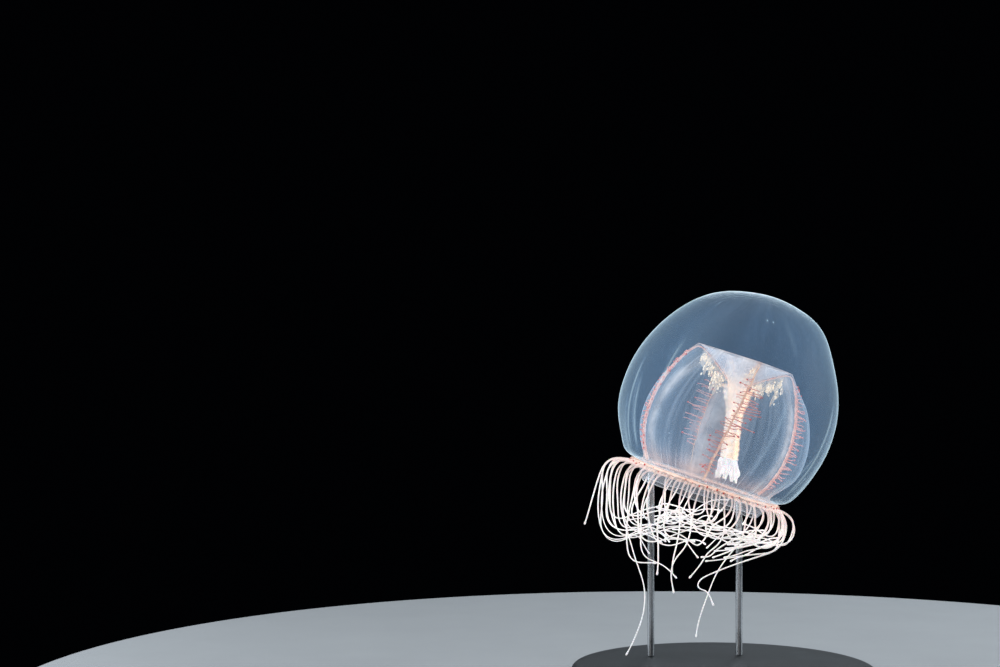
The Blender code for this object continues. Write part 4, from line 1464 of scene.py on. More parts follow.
@dataclass
class Stomach(Part):
    """The stomach tube with its four ridges, and the frilled lips round the mouth."""

    radius: float = 2.7
    neck: float = 2.4
    crown_radius: float = 4.7
    ridge: float = 0.10
    pinches: tuple[tuple[float, float], ...] = ((0.035, 14.0), (0.03, 5.3))  # depth, and how many
    low: float = 7.6
    columns: int = 96
    rings: int = 70
    lip_radius: float = 2.75
    lip_low: float = 3.2
    lip_columns: int = 160
    lip_rings: int = 22
    lip_wall: float = 0.42
    lip_lobes: float = 0.16
    frill_height: float = 0.40

    def build_tube(self) -> None:
        """Builds the tube, closed at both ends."""
        shape = self.shape
        angles = all_round(self.columns, shape.canal_turn)
        ridges = np.cos(np.radians(shape.canals * (angles - shape.canal_turn)))
        rows = []
        top = shape.roof_height(shape.roof_inner) - 1.0
        for i in range(self.rings + 1):
            share = i / self.rings
            body = self.radius - (self.radius - self.neck) * sin(pi * share)
            body += (self.crown_radius - self.radius) * (1 - float(smooth_step(0.0, 0.5, share))) ** 1.4
            pinch = sum(depth * sin(2 * pi * share * count) for depth, count in self.pinches)
            ends = min(1.0, share * 20.0, (1 - share) * 20.0) ** 0.5
            radius = body * (1 + self.ridge * ridges + pinch) * ends
            rows.append(shape.lobed_ring(radius, top + (self.low - 0.4 - top) * share, angles))
        fade = smooth_step(-0.06, 0.12, np.linspace(0.0, 1.0, self.rings + 1))
        finish_skin("stomach_tube", rows, self.looks["stomach"], ["manubrium"], {"fade": fade})

    def _lip_ring(self, share: float, inwards: float) -> Array:
        """A ring of the lips.

        Args:
            share: How far down it lies, from 0 to 1.
            inwards: How far it lies inside the lips' outer side.

        Returns:
            The points.
        """
        shape = self.shape
        angles = all_round(self.lip_columns, shape.canal_turn)
        turned = np.radians(angles - shape.canal_turn)
        lobes = np.cos(shape.canals * turned)
        frill = np.sin(7 * turned + 4.0 * share + 0.4) + 0.7 * np.sin(12 * turned - 7.0 * share + 2.0)
        frill = frill + 0.5 * np.sin(23 * turned + 9.0 * share)
        flare = float(smooth_step(0.0, 0.45, share)) * (1 - 0.35 * float(smooth_step(0.7, 1.0, share)))
        throat = self.radius * 0.92
        radius = (throat + (self.lip_radius - throat) * flare) * (1 + self.lip_lobes * lobes * share)
        radius = radius + self.frill_height * frill * flare * (0.5 + 0.5 * share) - inwards
        ragged = 0.8 * np.sin(7 * turned + 1.0) + 0.5 * np.sin(18 * turned) - 0.5 * lobes
        top = self.low + 0.5
        height = top - (top - self.lip_low) * share + ragged * (share**2 - 0.6 * flare * (1 - share))
        return shape.lobed_ring(np.maximum(radius, 0.15), height, angles)

    def build_lips(self) -> None:
        """Builds the lips: a flared frill with a thin wall, closed over its edge and down its throat."""
        angles = all_round(self.lip_columns, self.shape.canal_turn)
        top = self.low + 0.5
        throat = top - (top - self.lip_low) * 0.3
        steps = self.lip_rings
        rows = [self.shape.lobed_ring(0.0 * angles, top, angles)]
        rows += [self._lip_ring(i / steps, 0.0) for i in range(steps + 1)]
        rows += [self._lip_ring(i / steps, self.lip_wall) for i in range(steps, 6, -1)]
        rows.append(self.shape.lobed_ring(0.0 * angles, throat, angles))
        finish_skin("mouth_lips", rows, self.looks["lips"], ["mouth"])


def finger_mesh(
    length: float, width: float, bend: float, knob: float, sides: int = 10, rows: int = 9
) -> Mesh:
    """A round-ended finger that stands along +Z, bent towards +X, in metres.

    Args:
        length: Its length.
        width: Its width at the root.
        bend: How far its end has moved sideways.
        knob: The width of its end as a share of its root's.
        sides: How many sides it has.
        rows: How many rings of points it has.

    Returns:
        The mesh.
    """
    shares = np.linspace(0.0, 1.0, rows)
    swell = 1 + (knob - 1) * smooth_step(0.55, 0.85, shares)
    radii = width / 2 * swell * np.sqrt(1 - 0.97 * smooth_step(0.8, 1.0, shares))
    angles = all_round(sides)
    rings = [ring_points(radius, length * s, angles, bend * s * s) for radius, s in zip(radii, shares)]
    mesh = ring_mesh(np.array(rings), AS_IT_IS, caps=True)
    add_values(mesh, "fade", np.repeat(0.30 + 0.70 * smooth_step(0.35, 0.85, shares), sides))
    return mesh


def ball_mesh(radius: float) -> Mesh:
    """A small ball about the origin.

    Args:
        radius: Its radius, in millimetres.

    Returns:
        The mesh, in metres.
    """
    shape = bmesh.new()
    bmesh.ops.create_icosphere(shape, subdivisions=2, radius=radius * MM)
    mesh = bpy.data.meshes.new("ball")
    shape.to_mesh(mesh)
    shape.free()
    return mesh


@dataclass(frozen=True)
class Comb:
    """The side branches on one side of a canal, between two heights."""

    canal: int
    side: int  # 1 towards larger angles, and -1 towards smaller ones
    low: float
    high: float
    count: int
    length: float
    thickness: float = 1.0
    knobs: float = 0.85  # the share of the branches that end in a knob


@dataclass
class Canals(Part):
    """The four canals over the roof and down the wall, with their side branches."""

    widths: tuple[float, ...] = (0.90, 0.14, 0.95, 0.66)  # on the right, behind, on the left and in front
    roof_width: float = 0.4
    off_wall: float = 0.35
    sunk: float = 0.65  # how much further out the branches run than the canals, in the jelly itself
    branch_width: float = 0.20
    branch_points: int = 11
    knob: float = 0.40
    combs: tuple[Comb, ...] = (
        Comb(3, 1, 12, 28.5, 18, 5.6, 1.2, 0.95),
        Comb(3, 1, 3, 12, 8, 2.4, 0.8, 0.5),
        Comb(3, -1, 21, 31, 10, 3, 0.8, 0.3),
        Comb(3, -1, 2, 21, 22, 3.2, 1, 0.9),
        Comb(1, 1, 8, 30, 22, 5.6, 1.2, 0.85),
        Comb(1, -1, 10, 26, 9, 2, 0.6, 0.5),
        Comb(2, 1, 3, 33, 36, 3.6, 1, 0.7),
        Comb(2, -1, 3, 33, 28, 2.4, 0.85, 0.6),
        Comb(0, -1, 2.5, 33, 38, 4.2, 1.3, 0.95),
        Comb(0, 1, 3, 33, 14, 1.4, 0.8, 0.4),
    )

    def _line(self, number: int) -> Array:
        """A canal's middle line from the peduncle out over the roof and down to the margin.

        Args:
            number: Which canal.

        Returns:
            The line's points.
        """
        shape = self.shape
        turned = radians(shape.canal_angle(number))
        rim = shape.corner_radius(shape.roof_at)
        controls = []
        for share in (0.22, 0.4, 0.6, 0.8, 0.93):
            height = shape.roof_height(share) - self.off_wall
            controls.append((share * rim * cos(turned), share * rim * sin(turned), height))
        for i in range(15):
            height = shape.canal_top + (shape.foot + 0.5 - shape.canal_top) * i / 14
            drift = 0.25 * sin(2.3 * i + number)
            angle = shape.canal_angle(number, height) + degrees(drift / shape.corner_radius(height))
            controls.append(tuple(shape.wall(height, angle, self.off_wall)))
        return spline(controls, 150)

    def build(self) -> None:
        """Builds the canals as tubes: thin ones before and behind, and wide pale ones at the sides."""
        for name, numbers, look in (("thin_canals", (1, 3), "canal"), ("wide_canals", (0, 2), "pale canal")):
            strands = []
            for number in numbers:
                line = self._line(number)
                ripple = 1 + 0.12 * np.sin(np.arange(len(line)) * 0.9 + number)
                on_wall = smooth_step(0.20, 0.45, np.linspace(0.0, 1.0, len(line)))
                width = self.roof_width + (self.widths[number] - self.roof_width) * on_wall
                strands.append(Strand(line, width * ripple))
            nodes = [f"canal_{number + 1}" for number in numbers]
            self.trees.tubes(name, strands, 10, self.looks[look], "canal", nodes)

    def build_branches(self) -> None:
        """Builds the wavy branches, and the knobs at their ends."""
        strands: list[Strand] = []
        knobs: list[Spot] = []
        for row, comb in enumerate(self.combs):
            self._fill(row, comb, strands, knobs)
        self.trees.tubes("canal_branches", strands, 6, self.looks["branch"], "canal")
        self.trees.items("canal_knobs", ball_mesh(self.knob / 2), knobs, self.looks["knob"], "canal")

    def _fill(self, row: int, comb: Comb, strands: list[Strand], knobs: list[Spot]) -> None:
        """Adds one comb's branches, which lie on the wall, and their knobs.

        Args:
            row: The comb's number.
            comb: The comb.
            strands: Where the branches go.
            knobs: Where the knobs go.
        """
        shape = self.shape
        for i in range(comb.count):
            along = (i + 0.5) / comb.count
            chance = [hash_share(row, i, k) for k in range(7)]
            length = comb.length * (0.35 + 0.65 * sin(pi * along) ** 0.6) * (0.5 + 0.6 * chance[0])
            start = comb.low + (comb.high - comb.low) * (along + 0.8 * (chance[1] - 0.5) / comb.count)
            line = []
            for share in np.linspace(0.0, 1.0, self.branch_points):
                curl = 0.26 * chance[5] * sin(7.0 * share + 6.3 * chance[3])
                rise = (1.3 * (chance[2] - 0.4) + curl) * share
                angle = shape.canal_angle(comb.canal, start)
                angle += comb.side * degrees(length * share / shape.corner_radius(start))
                inwards = self.off_wall - self.sunk * min(1.0, 3.0 * share)
                line.append(tuple(shape.wall(start + rise, angle, inwards)))
            widths = self.branch_width * comb.thickness * (0.8 + 0.4 * chance[6])
            strands.append(Strand(np.array(line), widths * np.linspace(1.2, 0.85, self.branch_points)))
            if chance[4] < comb.knobs:
                end = Vector(line[-1])
                size = 0.55 + 0.6 * hash_share(i, row, 9)
                knobs.append(Spot(end, end - Vector(line[-2]), (size, size, size * 1.3)))


@dataclass
class Gonads(Part):
    """Clusters of fingers that hang under the roof along each canal."""

    inner: float = 4.6
    outer: float = 12.0
    fingers: int = 26
    length: float = 4.8
    width: float = 0.62
    bend: float = 0.9
    knob: float = 1.35
    granule: float = 0.44
    below_roof: float = 0.35
    shares: tuple[float, ...] = (1.3, 0.4, 1.4, 0.15)  # each cluster's length; the one in front is small
    slants: tuple[tuple[float, float], ...] = ((0.55, 1.35), (1.0, 0.65), (1.0, 0.65), (1.0, 0.65))

    def build(self) -> None:
        """Builds each cluster of clear fingers as a piece of its own, and the bright grains in them all."""
        grains = []
        for number in range(self.shape.canals):
            finger = finger_mesh(self.length, self.width, self.bend, self.knob)
            spots = self._spots(number)
            name, nodes = f"gonad_cluster_{number + 1}", [f"gonad_{number + 1}"]
            self.trees.items(name, finger, spots, self.looks["gonad"], "gonad", nodes, 0.15)
            grains += self._grains(number, spots)
        grain = ball_mesh(self.granule / 2)
        self.trees.items("gonad_grains", grain, grains, self.looks["egg"], "gonad", uneven=0.35)

    def _grains(self, number: int, spots: list[Spot]) -> list[Spot]:
        """Two or three grains in the lower half of each finger.

        Args:
            number: The cluster's number.
            spots: Where its fingers hang.

        Returns:
            The grains.
        """
        grains = []
        for i, spot in enumerate(spots):
            down = spot.up.normalized() * self.length * spot.size[2]
            for k in range(3):
                chance = [hash_share(i + 31 * k, number, n) for n in range(5)]
                if chance[4] > 0.9 * self.shares[number]:
                    continue
                jitter = Vector((chance[0] - 0.5, chance[1] - 0.5, 0.0)) * 0.5
                size = 0.6 + 1.0 * chance[2] ** 2
                place = spot.place + down * (0.45 + 0.25 * k + 0.15 * chance[3]) + jitter
                grains.append(Spot(place, spot.up, (size, size, size * (1.3 + 1.2 * chance[3]))))
        return grains

    def _spots(self, number: int) -> list[Spot]:
        """Where one cluster's fingers hang.

        Args:
            number: The cluster's number.

        Returns:
            A spot for each finger.
        """
        shape = self.shape
        turned = radians(shape.canal_angle(number))
        along = Vector((cos(turned), sin(turned), 0.0))
        across = Vector((-sin(turned), cos(turned), 0.0))
        rim = shape.corner_radius(shape.roof_at)
        first, last = self.slants[number]
        spots = []
        for i in range(self.fingers):
            share = (i + 0.5) / self.fingers
            chance = [hash_share(i, number, k) for k in range(4)]
            radius = self.inner + (self.outer - self.inner) * share
            offset = (1.0 - 0.4 * share) * (-1.0 if i % 2 else 1.0) * (0.15 + 1.1 * chance[0])
            place = along * radius + across * offset
            place.z = shape.roof_height(radius / rim) - self.below_roof - 0.25 * abs(offset)
            lean = along * (0.7 * (chance[1] - 0.5)) + across * (0.18 * offset + 0.6 * (chance[2] - 0.5))
            length = (first + (last - first) * share) * (0.35 + 0.75 * chance[3]) * self.shares[number]
            girth = 0.7 + 0.6 * hash_share(i, number, 8)
            side = along * cos(6.3 * chance[0]) + across * sin(6.3 * chance[0])
            spots.append(Spot(place, Vector((0.0, 0.0, -1.0)) + lean, (girth, girth, length), side))
        return spots


# ---- the margin


@dataclass
class Margin(Part):
    """The ring that the tentacles grow from, the ring canal in it, the eyespots and the velum."""

    radius: float = 21.0
    thickness: float = 2.6
    at: float = -1.3
    slots: int = 64
    ring_columns: int = 512
    ring_sides: int = 18
    ring_inwards: float = 0.35
    ring_up: float = 0.65
    ring_half: tuple[float, float] = (0.95, 0.85)  # half of its width and of its height
    root_swell: float = 0.18
    canal_width: float = 0.62
    velum_top: float = 18.9
    velum_low: float = 16.6
    velum_depth: float = 5.2
    velum_wall: float = 0.38
    velum_columns: int = 300
    velum_rings: int = 16
    eyespot: float = 0.22
    eyespot_share: float = 0.72  # of the roots
    eyespot_out: float = 0.68
    eyespot_up: float = 0.55
    streaks: int = 26
    streak_least: float = 1.6
    streak_more: float = 5.5
    streak_width: float = 0.17

    def build_ring(self) -> None:
        """Builds the ring, with a slight swelling at each tentacle."""
        angles = all_round(self.ring_columns)
        swell = 0.5 + 0.5 * np.cos(np.radians(self.slots * (angles - 180.0 / self.slots)))
        rows = []
        for k in range(self.ring_sides):
            turn = 2 * pi * k / self.ring_sides
            low = 1.0 + self.root_swell * swell * (1 - sin(turn)) / 2
            radius = self.radius - self.ring_inwards + self.ring_half[0] * cos(turn) * low
            height = self.at + self.ring_up + self.ring_half[1] * sin(turn) * low
            rows.append(ring_points(radius, height, angles))
        finish_skin("margin_ring", rows, self.looks["margin"], close_rows=True)

    def build_ring_canal(self) -> None:
        """Builds the ring canal, along the hollow's foot."""
        angles = np.linspace(0.0, 360.0, 240)
        turned = np.radians(angles)
        widths = self.canal_width + 0.14 * np.sin(turned * 23) + 0.10 * np.sin(turned * 57 + 1)
        strand = Strand(ring_points(self.radius - 0.1, -0.35, angles), widths)
        self.trees.tubes("ring_canal", [strand], 8, self.looks["ring canal"], "canal")

    def build_eyespots(self, slots: Sequence[int]) -> None:
        """Builds a red eyespot on the outer side of most tentacles' roots.

        Args:
            slots: The slots that hold a tentacle.
        """
        spots = []
        for slot in slots:
            chance = [hash_share(slot, 7, k) for k in range(4)]
            if chance[3] > self.eyespot_share:
                continue
            angle = radians(360.0 * (slot + 0.5 + 0.5 * (chance[0] - 0.5)) / self.slots)
            out = Vector((cos(angle), sin(angle), 0.0))
            place = out * (self.radius + self.eyespot_out)
            place.z = self.at + self.eyespot_up + 0.7 * (chance[2] - 0.5)
            spots.append(Spot(place, out, (0.7 + 0.6 * chance[1], 0.7 + 0.6 * chance[0], 0.6)))
        ball = ball_mesh(self.eyespot)
        self.trees.items("eyespots", ball, spots, self.looks["eyespot"], "canal")

    def build_velum(self) -> None:
        """Builds the velum: a thin cone with a rounded, slightly wavy free edge."""
        steps = self.velum_rings
        angles = all_round(self.velum_columns)
        wave = np.sin(5 * np.radians(angles) + 0.7) + 0.6 * np.sin(11 * np.radians(angles))
        rows, line = [], []
        for inwards, order in ((0.0, range(steps + 1)), (self.velum_wall, range(steps, -1, -1))):
            for i in order:
                share = i / steps
                slack = 0.5 * sin(pi * share)
                radius = self.velum_top + (self.velum_low - self.velum_top) * share + slack - inwards
                height = self.shape.foot - 0.1 - self.velum_depth * share + 0.16 * wave * share
                rows.append(ring_points(radius + 0.10 * wave * share, height, angles))
                line.append(float(smooth_step(0.93, 1.0, share)))
        look = self.looks["veil"]
        finish_skin("velum_skin", rows, look, ["velum"], {"line": line}, close_rows=True)

    def build_streaks(self) -> None:
        """Builds short blind canals that rise from the ring canal on the hollow's wall."""
        shape = self.shape
        shares = np.linspace(0.0, 1.0, 9)
        strands = []
        for i in range(self.streaks):
            chance = [hash_share(i, k, 5) for k in range(3)]
            angle = 360.0 * (i + 0.8 * chance[0]) / self.streaks
            rise = self.streak_least + self.streak_more * chance[1] ** 2.5
            drift = degrees(0.5 * (chance[2] - 0.5) / 20.0)
            line = [tuple(shape.wall(shape.foot + 0.4 + rise * s, angle + drift * s, 0.2)) for s in shares]
            strands.append(Strand(np.array(line), self.streak_width * (1 - 0.8 * shares)))
        self.trees.tubes("margin_streaks", strands, 6, self.looks["streak"], "membrane")


# ---- tentacles


@dataclass
class Tentacle:
    """How one tentacle lies: out from the margin, down to a level, and then along a few straight legs."""

    slot: int
    arch: float  # how far it stands out before it falls
    level: float  # the height over the floor where it stops falling
    legs: list[Point]  # the steps (x, y, z) that it takes after that, in the row frame
    drift: tuple[float, float] = (0.0, 0.0)  # how far it moves in x and y while it falls


# the legs of the tentacle that trails to the left and turns back in a loop
LOOP_LEGS = [
    (-3.6, -2.0, -3.0),
    (-12.0, -1.0, -3.0),
    (-9.6, 0.0, -4.2),
    (-0.4, 0.0, -3.2),
    (3.8, 0.0, 1.0),
    (1.0, 0.0, -2.2),
]


class Length(Enum):
    """The lengths that a trailing tentacle's solids are cut into."""

    MIDDLE = "middle"
    TIP = "tip"


@dataclass
class Mop(Part):
    """All the tentacles. Their lines are those of the solids, found in the same way."""

    margin: Margin
    rod_slots: tuple[int, int] = (9, 23)
    rod_radius: float = 1.0
    base_width: float = 0.95
    step: float = 0.8
    root_steps: int = 3
    spacing: float = 1.5
    skin_room: float = 0.5
    base_thickness: float = 6.0
    base_room: float = 2.5
    rounds: int = 90
    last_straight_rounds: int = 12
    push_share: float = 0.3
    longest_push: float = 0.6
    smoothing: float = 0.07
    gap: float = 0.3
    groups: int = 8  # how many pieces the tentacles make
    sides: int = 8
    width: float = 0.36
    uneven_width: float = 0.07
    root_width: float = 0.30
    tip_knob: float = 0.22
    wave: float = 0.26
    trailing: tuple[tuple[int, str], ...] = (
        (36, "trailing_left"),
        (52, "trailing_right"),
        (59, "trailing_loop"),
    )
    named: tuple[Tentacle, ...] = (
        Tentacle(33, 7.6, 52, [(-2.6, 0.5, -6)], (-1.6, 0)),
        Tentacle(34, 6.6, 47.5, [(1.4, -1, -2.6), (4.2, -2, -0.6), (8, -2.5, 2), (7, -1, 1.6)]),
        Tentacle(35, 5.4, 45, [(1.6, -1, -2.6), (4, -1.5, 0.4), (3, -0.5, 2.2)]),
        Tentacle(36, 4, 47, [(2.4, -1, -6.5), (3.2, -1, -9.5), (0.4, 0.6, -10.5), (-5.2, 0.6, -9.6)]),
        Tentacle(37, 4.8, 49.5, [(2.2, -1, -1.4), (6, -1, 2), (5, -0.4, 0.4), (5.5, 0, -3)]),
        Tentacle(38, 3.6, 43, [(0.2, -1, -5.6), (2, -0.5, -1.4), (5.4, -0.6, 0.2)], (-2.2, 0)),
        Tentacle(40, 3.4, 44.5, [(0.2, 0, -5.6), (1.8, 0, -1.8), (4.4, 0, -0.4), (2.8, 0, -3.4)], (-2, 0)),
        Tentacle(42, 3, 42, [(-0.3, 0.4, -8)], (-1.2, 0)),
        Tentacle(44, 3, 42, [(-0.5, 0.4, -7.5)], (-1, 0)),
        Tentacle(46, 4.2, 42.5, [(-5, 0.5, -5), (-1.2, 0, -3.4), (1, 0, -3.8)], (-0.8, 0)),
        Tentacle(49, 4, 43.5, [(-6.4, 1, -5.6), (-3, 0.5, -4.6)], (1, 0)),
        Tentacle(52, 3.6, 42, [(-4.5, 0.5, -7), (-4.6, 0.5, -9), (-1.2, 0.5, -9)], (-2.6, 0)),
        Tentacle(57, 4.8, 41, [(-1.8, -1, -2.4), (-10, -1, -0.4), (-8, 0, -1)]),
        Tentacle(59, 4.6, 41.5, LOOP_LEGS),
    )

    @property
    def room(self) -> float:
        """How far a line keeps away from the solids."""
        return self.base_width / 2 + self.skin_room

    def slot_angle(self, slot: int) -> float:
        """The angle of a tentacle's root round the margin, in the medusa's own frame."""
        return 360.0 * (slot + 0.5) / self.margin.slots

    def slots(self) -> list[int]:
        """The slots that hold a tentacle, and not a rod."""
        return [slot for slot in range(self.margin.slots) if slot not in self.rod_slots]

    def _rod_foot(self, slot: int) -> Vector:
        """Where a rod stands, straight under the margin.

        Args:
            slot: The rod's slot.

        Returns:
            A point on its middle line.
        """
        turned = radians(self.slot_angle(slot))
        radius = self.margin.radius
        return TO_ROW @ Vector((radius * cos(turned), radius * sin(turned), self.margin.at))

    def _ordinary(self, slot: int) -> Tentacle:
        """A tentacle of the mop: it falls, turns up in a loop and then sweeps across under the bell.

        Args:
            slot: Its slot.

        Returns:
            How it lies.
        """
        angle = radians(self.slot_angle(slot))
        inwards = Vector((-cos(angle), -sin(angle), 0.0))
        chance = [hash_share(slot, n) for n in range(10)]
        sideways = sin(angle) ** 2  # 1 at the front and the back, 0 at the left and right ends
        right = cos(angle)
        hand = copysign(1.0, 0.9 * (chance[0] - 0.5) - sin(2 * angle))
        first = self._turned(inwards, hand * (20.0 + (50.0 + 45.0 * chance[1]) * sideways))
        second = self._turned(first, -hand * (-10.0 + 60.0 * chance[2]))
        arch = 3.6 + 3.8 * chance[3] * (0.4 + 0.6 * (1 - sideways)) - 1.2 * max(0.0, right)
        level = 44.6 + 4.6 * chance[4] + 1.6 * right
        loop = (2.2 + 3.0 * chance[5]) * (0.8 - 0.25 * right)
        tail = (3.0 + 9.5 * chance[6]) * (0.95 + 0.4 * right)
        lift = -4.5 + 9.0 * chance[7]
        legs = [
            (first.x * loop * 0.4, first.y * loop * 0.4, -loop * 0.8),
            (first.x * loop, first.y * loop, -loop * 0.2),
            (first.x * loop, first.y * loop, loop * 0.6),
            (second.x * tail * 0.5, second.y * tail * 0.5, lift * 0.7),
            (second.x * tail * 0.5, second.y * tail * 0.5, lift * 0.3 - 1.4 * chance[8]),
        ]
        sway = (-6.0 + 7.5 * chance[9]) * sideways + (-1.5 + 2.0 * chance[9]) * (1 - sideways)
        return Tentacle(slot, arch, level, legs, (sway, 1.5 * inwards.y))

    @staticmethod
    def _turned(vector: Vector, angle: float) -> Vector:
        """A vector turned about the vertical."""
        return Matrix.Rotation(radians(angle), 3, "Z") @ vector

    def _first_route(self, tentacle: Tentacle) -> Array:
        """A tentacle's line before it is moved clear of its neighbours.

        Args:
            tentacle: How it lies.

        Returns:
            The line's points.
        """
        turned = radians(self.slot_angle(tentacle.slot))
        own = Vector((cos(turned), sin(turned), 0.0))
        root = TO_ROW @ Vector((own.x * self.margin.radius, own.y * self.margin.radius, self.margin.at))
        turn = TO_ROW.to_3x3()
        out = (turn @ own).normalized()
        own_down = turn @ Vector((0.0, 0.0, -1.0))
        down = Vector((0.0, 0.0, -1.0))
        shoulder = root + out * tentacle.arch
        hip = shoulder + out * (0.12 * tentacle.arch) + own_down * 4.0
        drift = Vector((*tentacle.drift, 0.0))
        fall = max(3.0, hip.z - tentacle.level)
        bulge = Vector((4.0 * (hash_share(tentacle.slot, 21) - 0.5), 0.0, 0.0)) * own.y**2
        controls = [
            root,
            root + out * (0.5 * tentacle.arch) - own_down * 0.3,
            shoulder + own_down * 0.6,
            hip,
            hip + down * (fall * 0.5) + drift * 0.5 + bulge,
            hip + down * fall + drift,
        ]
        for leg in tentacle.legs:
            controls.append(controls[-1] + Vector(leg) * 0.5)
            controls.append(controls[-2] + Vector(leg))
        line = spline([tuple(c) for c in controls], 160)
        total = lengths_along(line)[-1]
        count = max(8, int(round(total / self.step)) + 1)
        return read_at(line, np.linspace(0.0, total, count))

    def _clear_of_hollow(self, own: Array) -> None:
        """Moves points out of the velum and the hollow over it, sideways or down, whichever is nearer.

        Args:
            own: The points, which are changed.
        """
        radius = np.hypot(own[:, 0], own[:, 1])
        lowest = self.shape.foot - self.margin.velum_depth - self.gap - self.room
        sideways = self.margin.velum_top + self.room - radius
        under = (sideways > 0) & (own[:, 2] > lowest)
        push_out = under & (sideways < own[:, 2] - lowest)
        scale = np.where(push_out, 1 + sideways / np.maximum(radius, 1e-6), 1.0)
        own[:, :2] *= scale[:, None]
        own[:, 2] = np.where(under & ~push_out, lowest, own[:, 2])

    def _clear_of_foot(self, own: Array) -> None:
        """Moves points down from the underside of the bell's wall.

        Args:
            own: The points, which are changed.
        """
        radius = np.hypot(own[:, 0], own[:, 1])
        shell = np.array([self.shape.outer_radius(max(height, 0.0)) for height in own[:, 2]])
        height = own[:, 2]
        inside = (height > -self.room) & (height < self.margin.thickness) & (radius < shell + self.room)
        own[:, 2] = np.where(inside, -self.room, height)

    def _clear_of_margin(self, own: Array) -> None:
        """Moves points out of the ring of the margin.

        Args:
            own: The points, which are changed.
        """
        radius = np.maximum(np.hypot(own[:, 0], own[:, 1]), 1e-6)
        off = np.stack([radius - self.margin.radius, own[:, 2] - self.margin.at], axis=1)
        far = np.maximum(np.linalg.norm(off, axis=1), 1e-6)
        least = self.margin.thickness / 2 + self.room
        near = far < least
        moved = off * (least / far)[:, None]
        own[:, :2] *= (np.where(near, self.margin.radius + moved[:, 0], radius) / radius)[:, None]
        own[:, 2] = np.where(near, self.margin.at + moved[:, 1], own[:, 2])

    def _keep_clear(self, points: Array, loose: slice) -> None:
        """Moves a line's loose points out of the bell, its hollow, the margin, the rods and the base.

        Args:
            points: The line's points, which are changed.
            loose: Which of them may move.
        """
        own = placed(points, FROM_ROW)
        self._clear_of_hollow(own)
        self._clear_of_foot(own)
        self._clear_of_margin(own)
        cleared = placed(own, TO_ROW)
        for slot in self.rod_slots:
            foot = self._rod_foot(slot)
            off = cleared[:, :2] - np.array([foot.x, foot.y])
            far = np.maximum(np.linalg.norm(off, axis=1), 1e-6)
            cleared[:, :2] += off * np.maximum((self.rod_radius + self.room) / far - 1.0, 0.0)[:, None]
        cleared[:, 2] = np.maximum(cleared[:, 2], self.base_thickness + self.base_room)
        points[loose] = cleared[loose]

    def _pushes(self, routes: list[Array]) -> list[Array]:
        """How far each point of each line is pushed by the lines that come too near to it.

        Args:
            routes: The lines.

        Returns:
            A move for each point of each line.
        """
        moves = [np.zeros_like(route) for route in routes]
        starts = np.concatenate([[0], np.cumsum([len(route) for route in routes])])
        everything = np.concatenate(routes)
        for i, route in enumerate(routes[:-1]):
            between = route[:, None, :] - everything[None, starts[i + 1] :, :]
            far = np.sqrt((between**2).sum(axis=2))
            rows, columns = np.nonzero(far < self.spacing)
            close = np.maximum(far[rows, columns], 1e-3)
            push = between[rows, columns] * ((self.spacing - close) / close * self.push_share)[:, None]
            np.add.at(moves[i], rows, push)
            columns = columns + starts[i + 1]
            owners = np.searchsorted(starts, columns, side="right") - 1
            for other in np.unique(owners):
                mine = owners == other
                np.add.at(moves[other], columns[mine] - starts[other], -push[mine])
        return moves

    def _relax(self, route: Array, move: Array, step: float, smooth: bool) -> None:
        """Moves one line by its pushes, and keeps its length, its smoothness and its clear places.

        Args:
            route: The line, which is changed.
            move: A move for each of its points.
            step: How far apart its points should be.
            smooth: Whether its bends are softened.
        """
        free = self.root_steps
        size = np.linalg.norm(move, axis=1, keepdims=True)
        move = move * np.minimum(1.0, self.longest_push / np.maximum(size, 1e-6))
        spread = move.copy()
        spread[1:-1] = 0.5 * move[1:-1] + 0.25 * (move[2:] + move[:-2])
        route[free:] += spread[free:]
        if smooth:
            middle = (route[2:] + route[:-2]) / 2
            route[free:-1] += self.smoothing * (middle - route[1:-1])[free - 1 :]
        for i in range(free, len(route)):
            leg = route[i] - route[i - 1]
            length = max(np.linalg.norm(leg), 1e-6)
            route[i] = route[i - 1] + leg * (0.5 + 0.5 * step / length)
        self._keep_clear(route, slice(free + 1, None))

    def routes(self) -> dict[int, Array]:
        """Every tentacle's line in the row frame.

        Returns:
            The lines, by slot.
        """
        named = {tentacle.slot: tentacle for tentacle in self.named}
        slots = self.slots()
        routes = [self._first_route(named.get(slot) or self._ordinary(slot)) for slot in slots]
        steps = [np.linalg.norm(np.diff(route, axis=0), axis=1).mean() for route in routes]
        for turn in range(self.rounds):
            smooth = turn < self.rounds - self.last_straight_rounds
            for route, move, step in zip(routes, self._pushes(routes), steps):
                self._relax(route, move, step, smooth)
        return dict(zip(slots, routes))

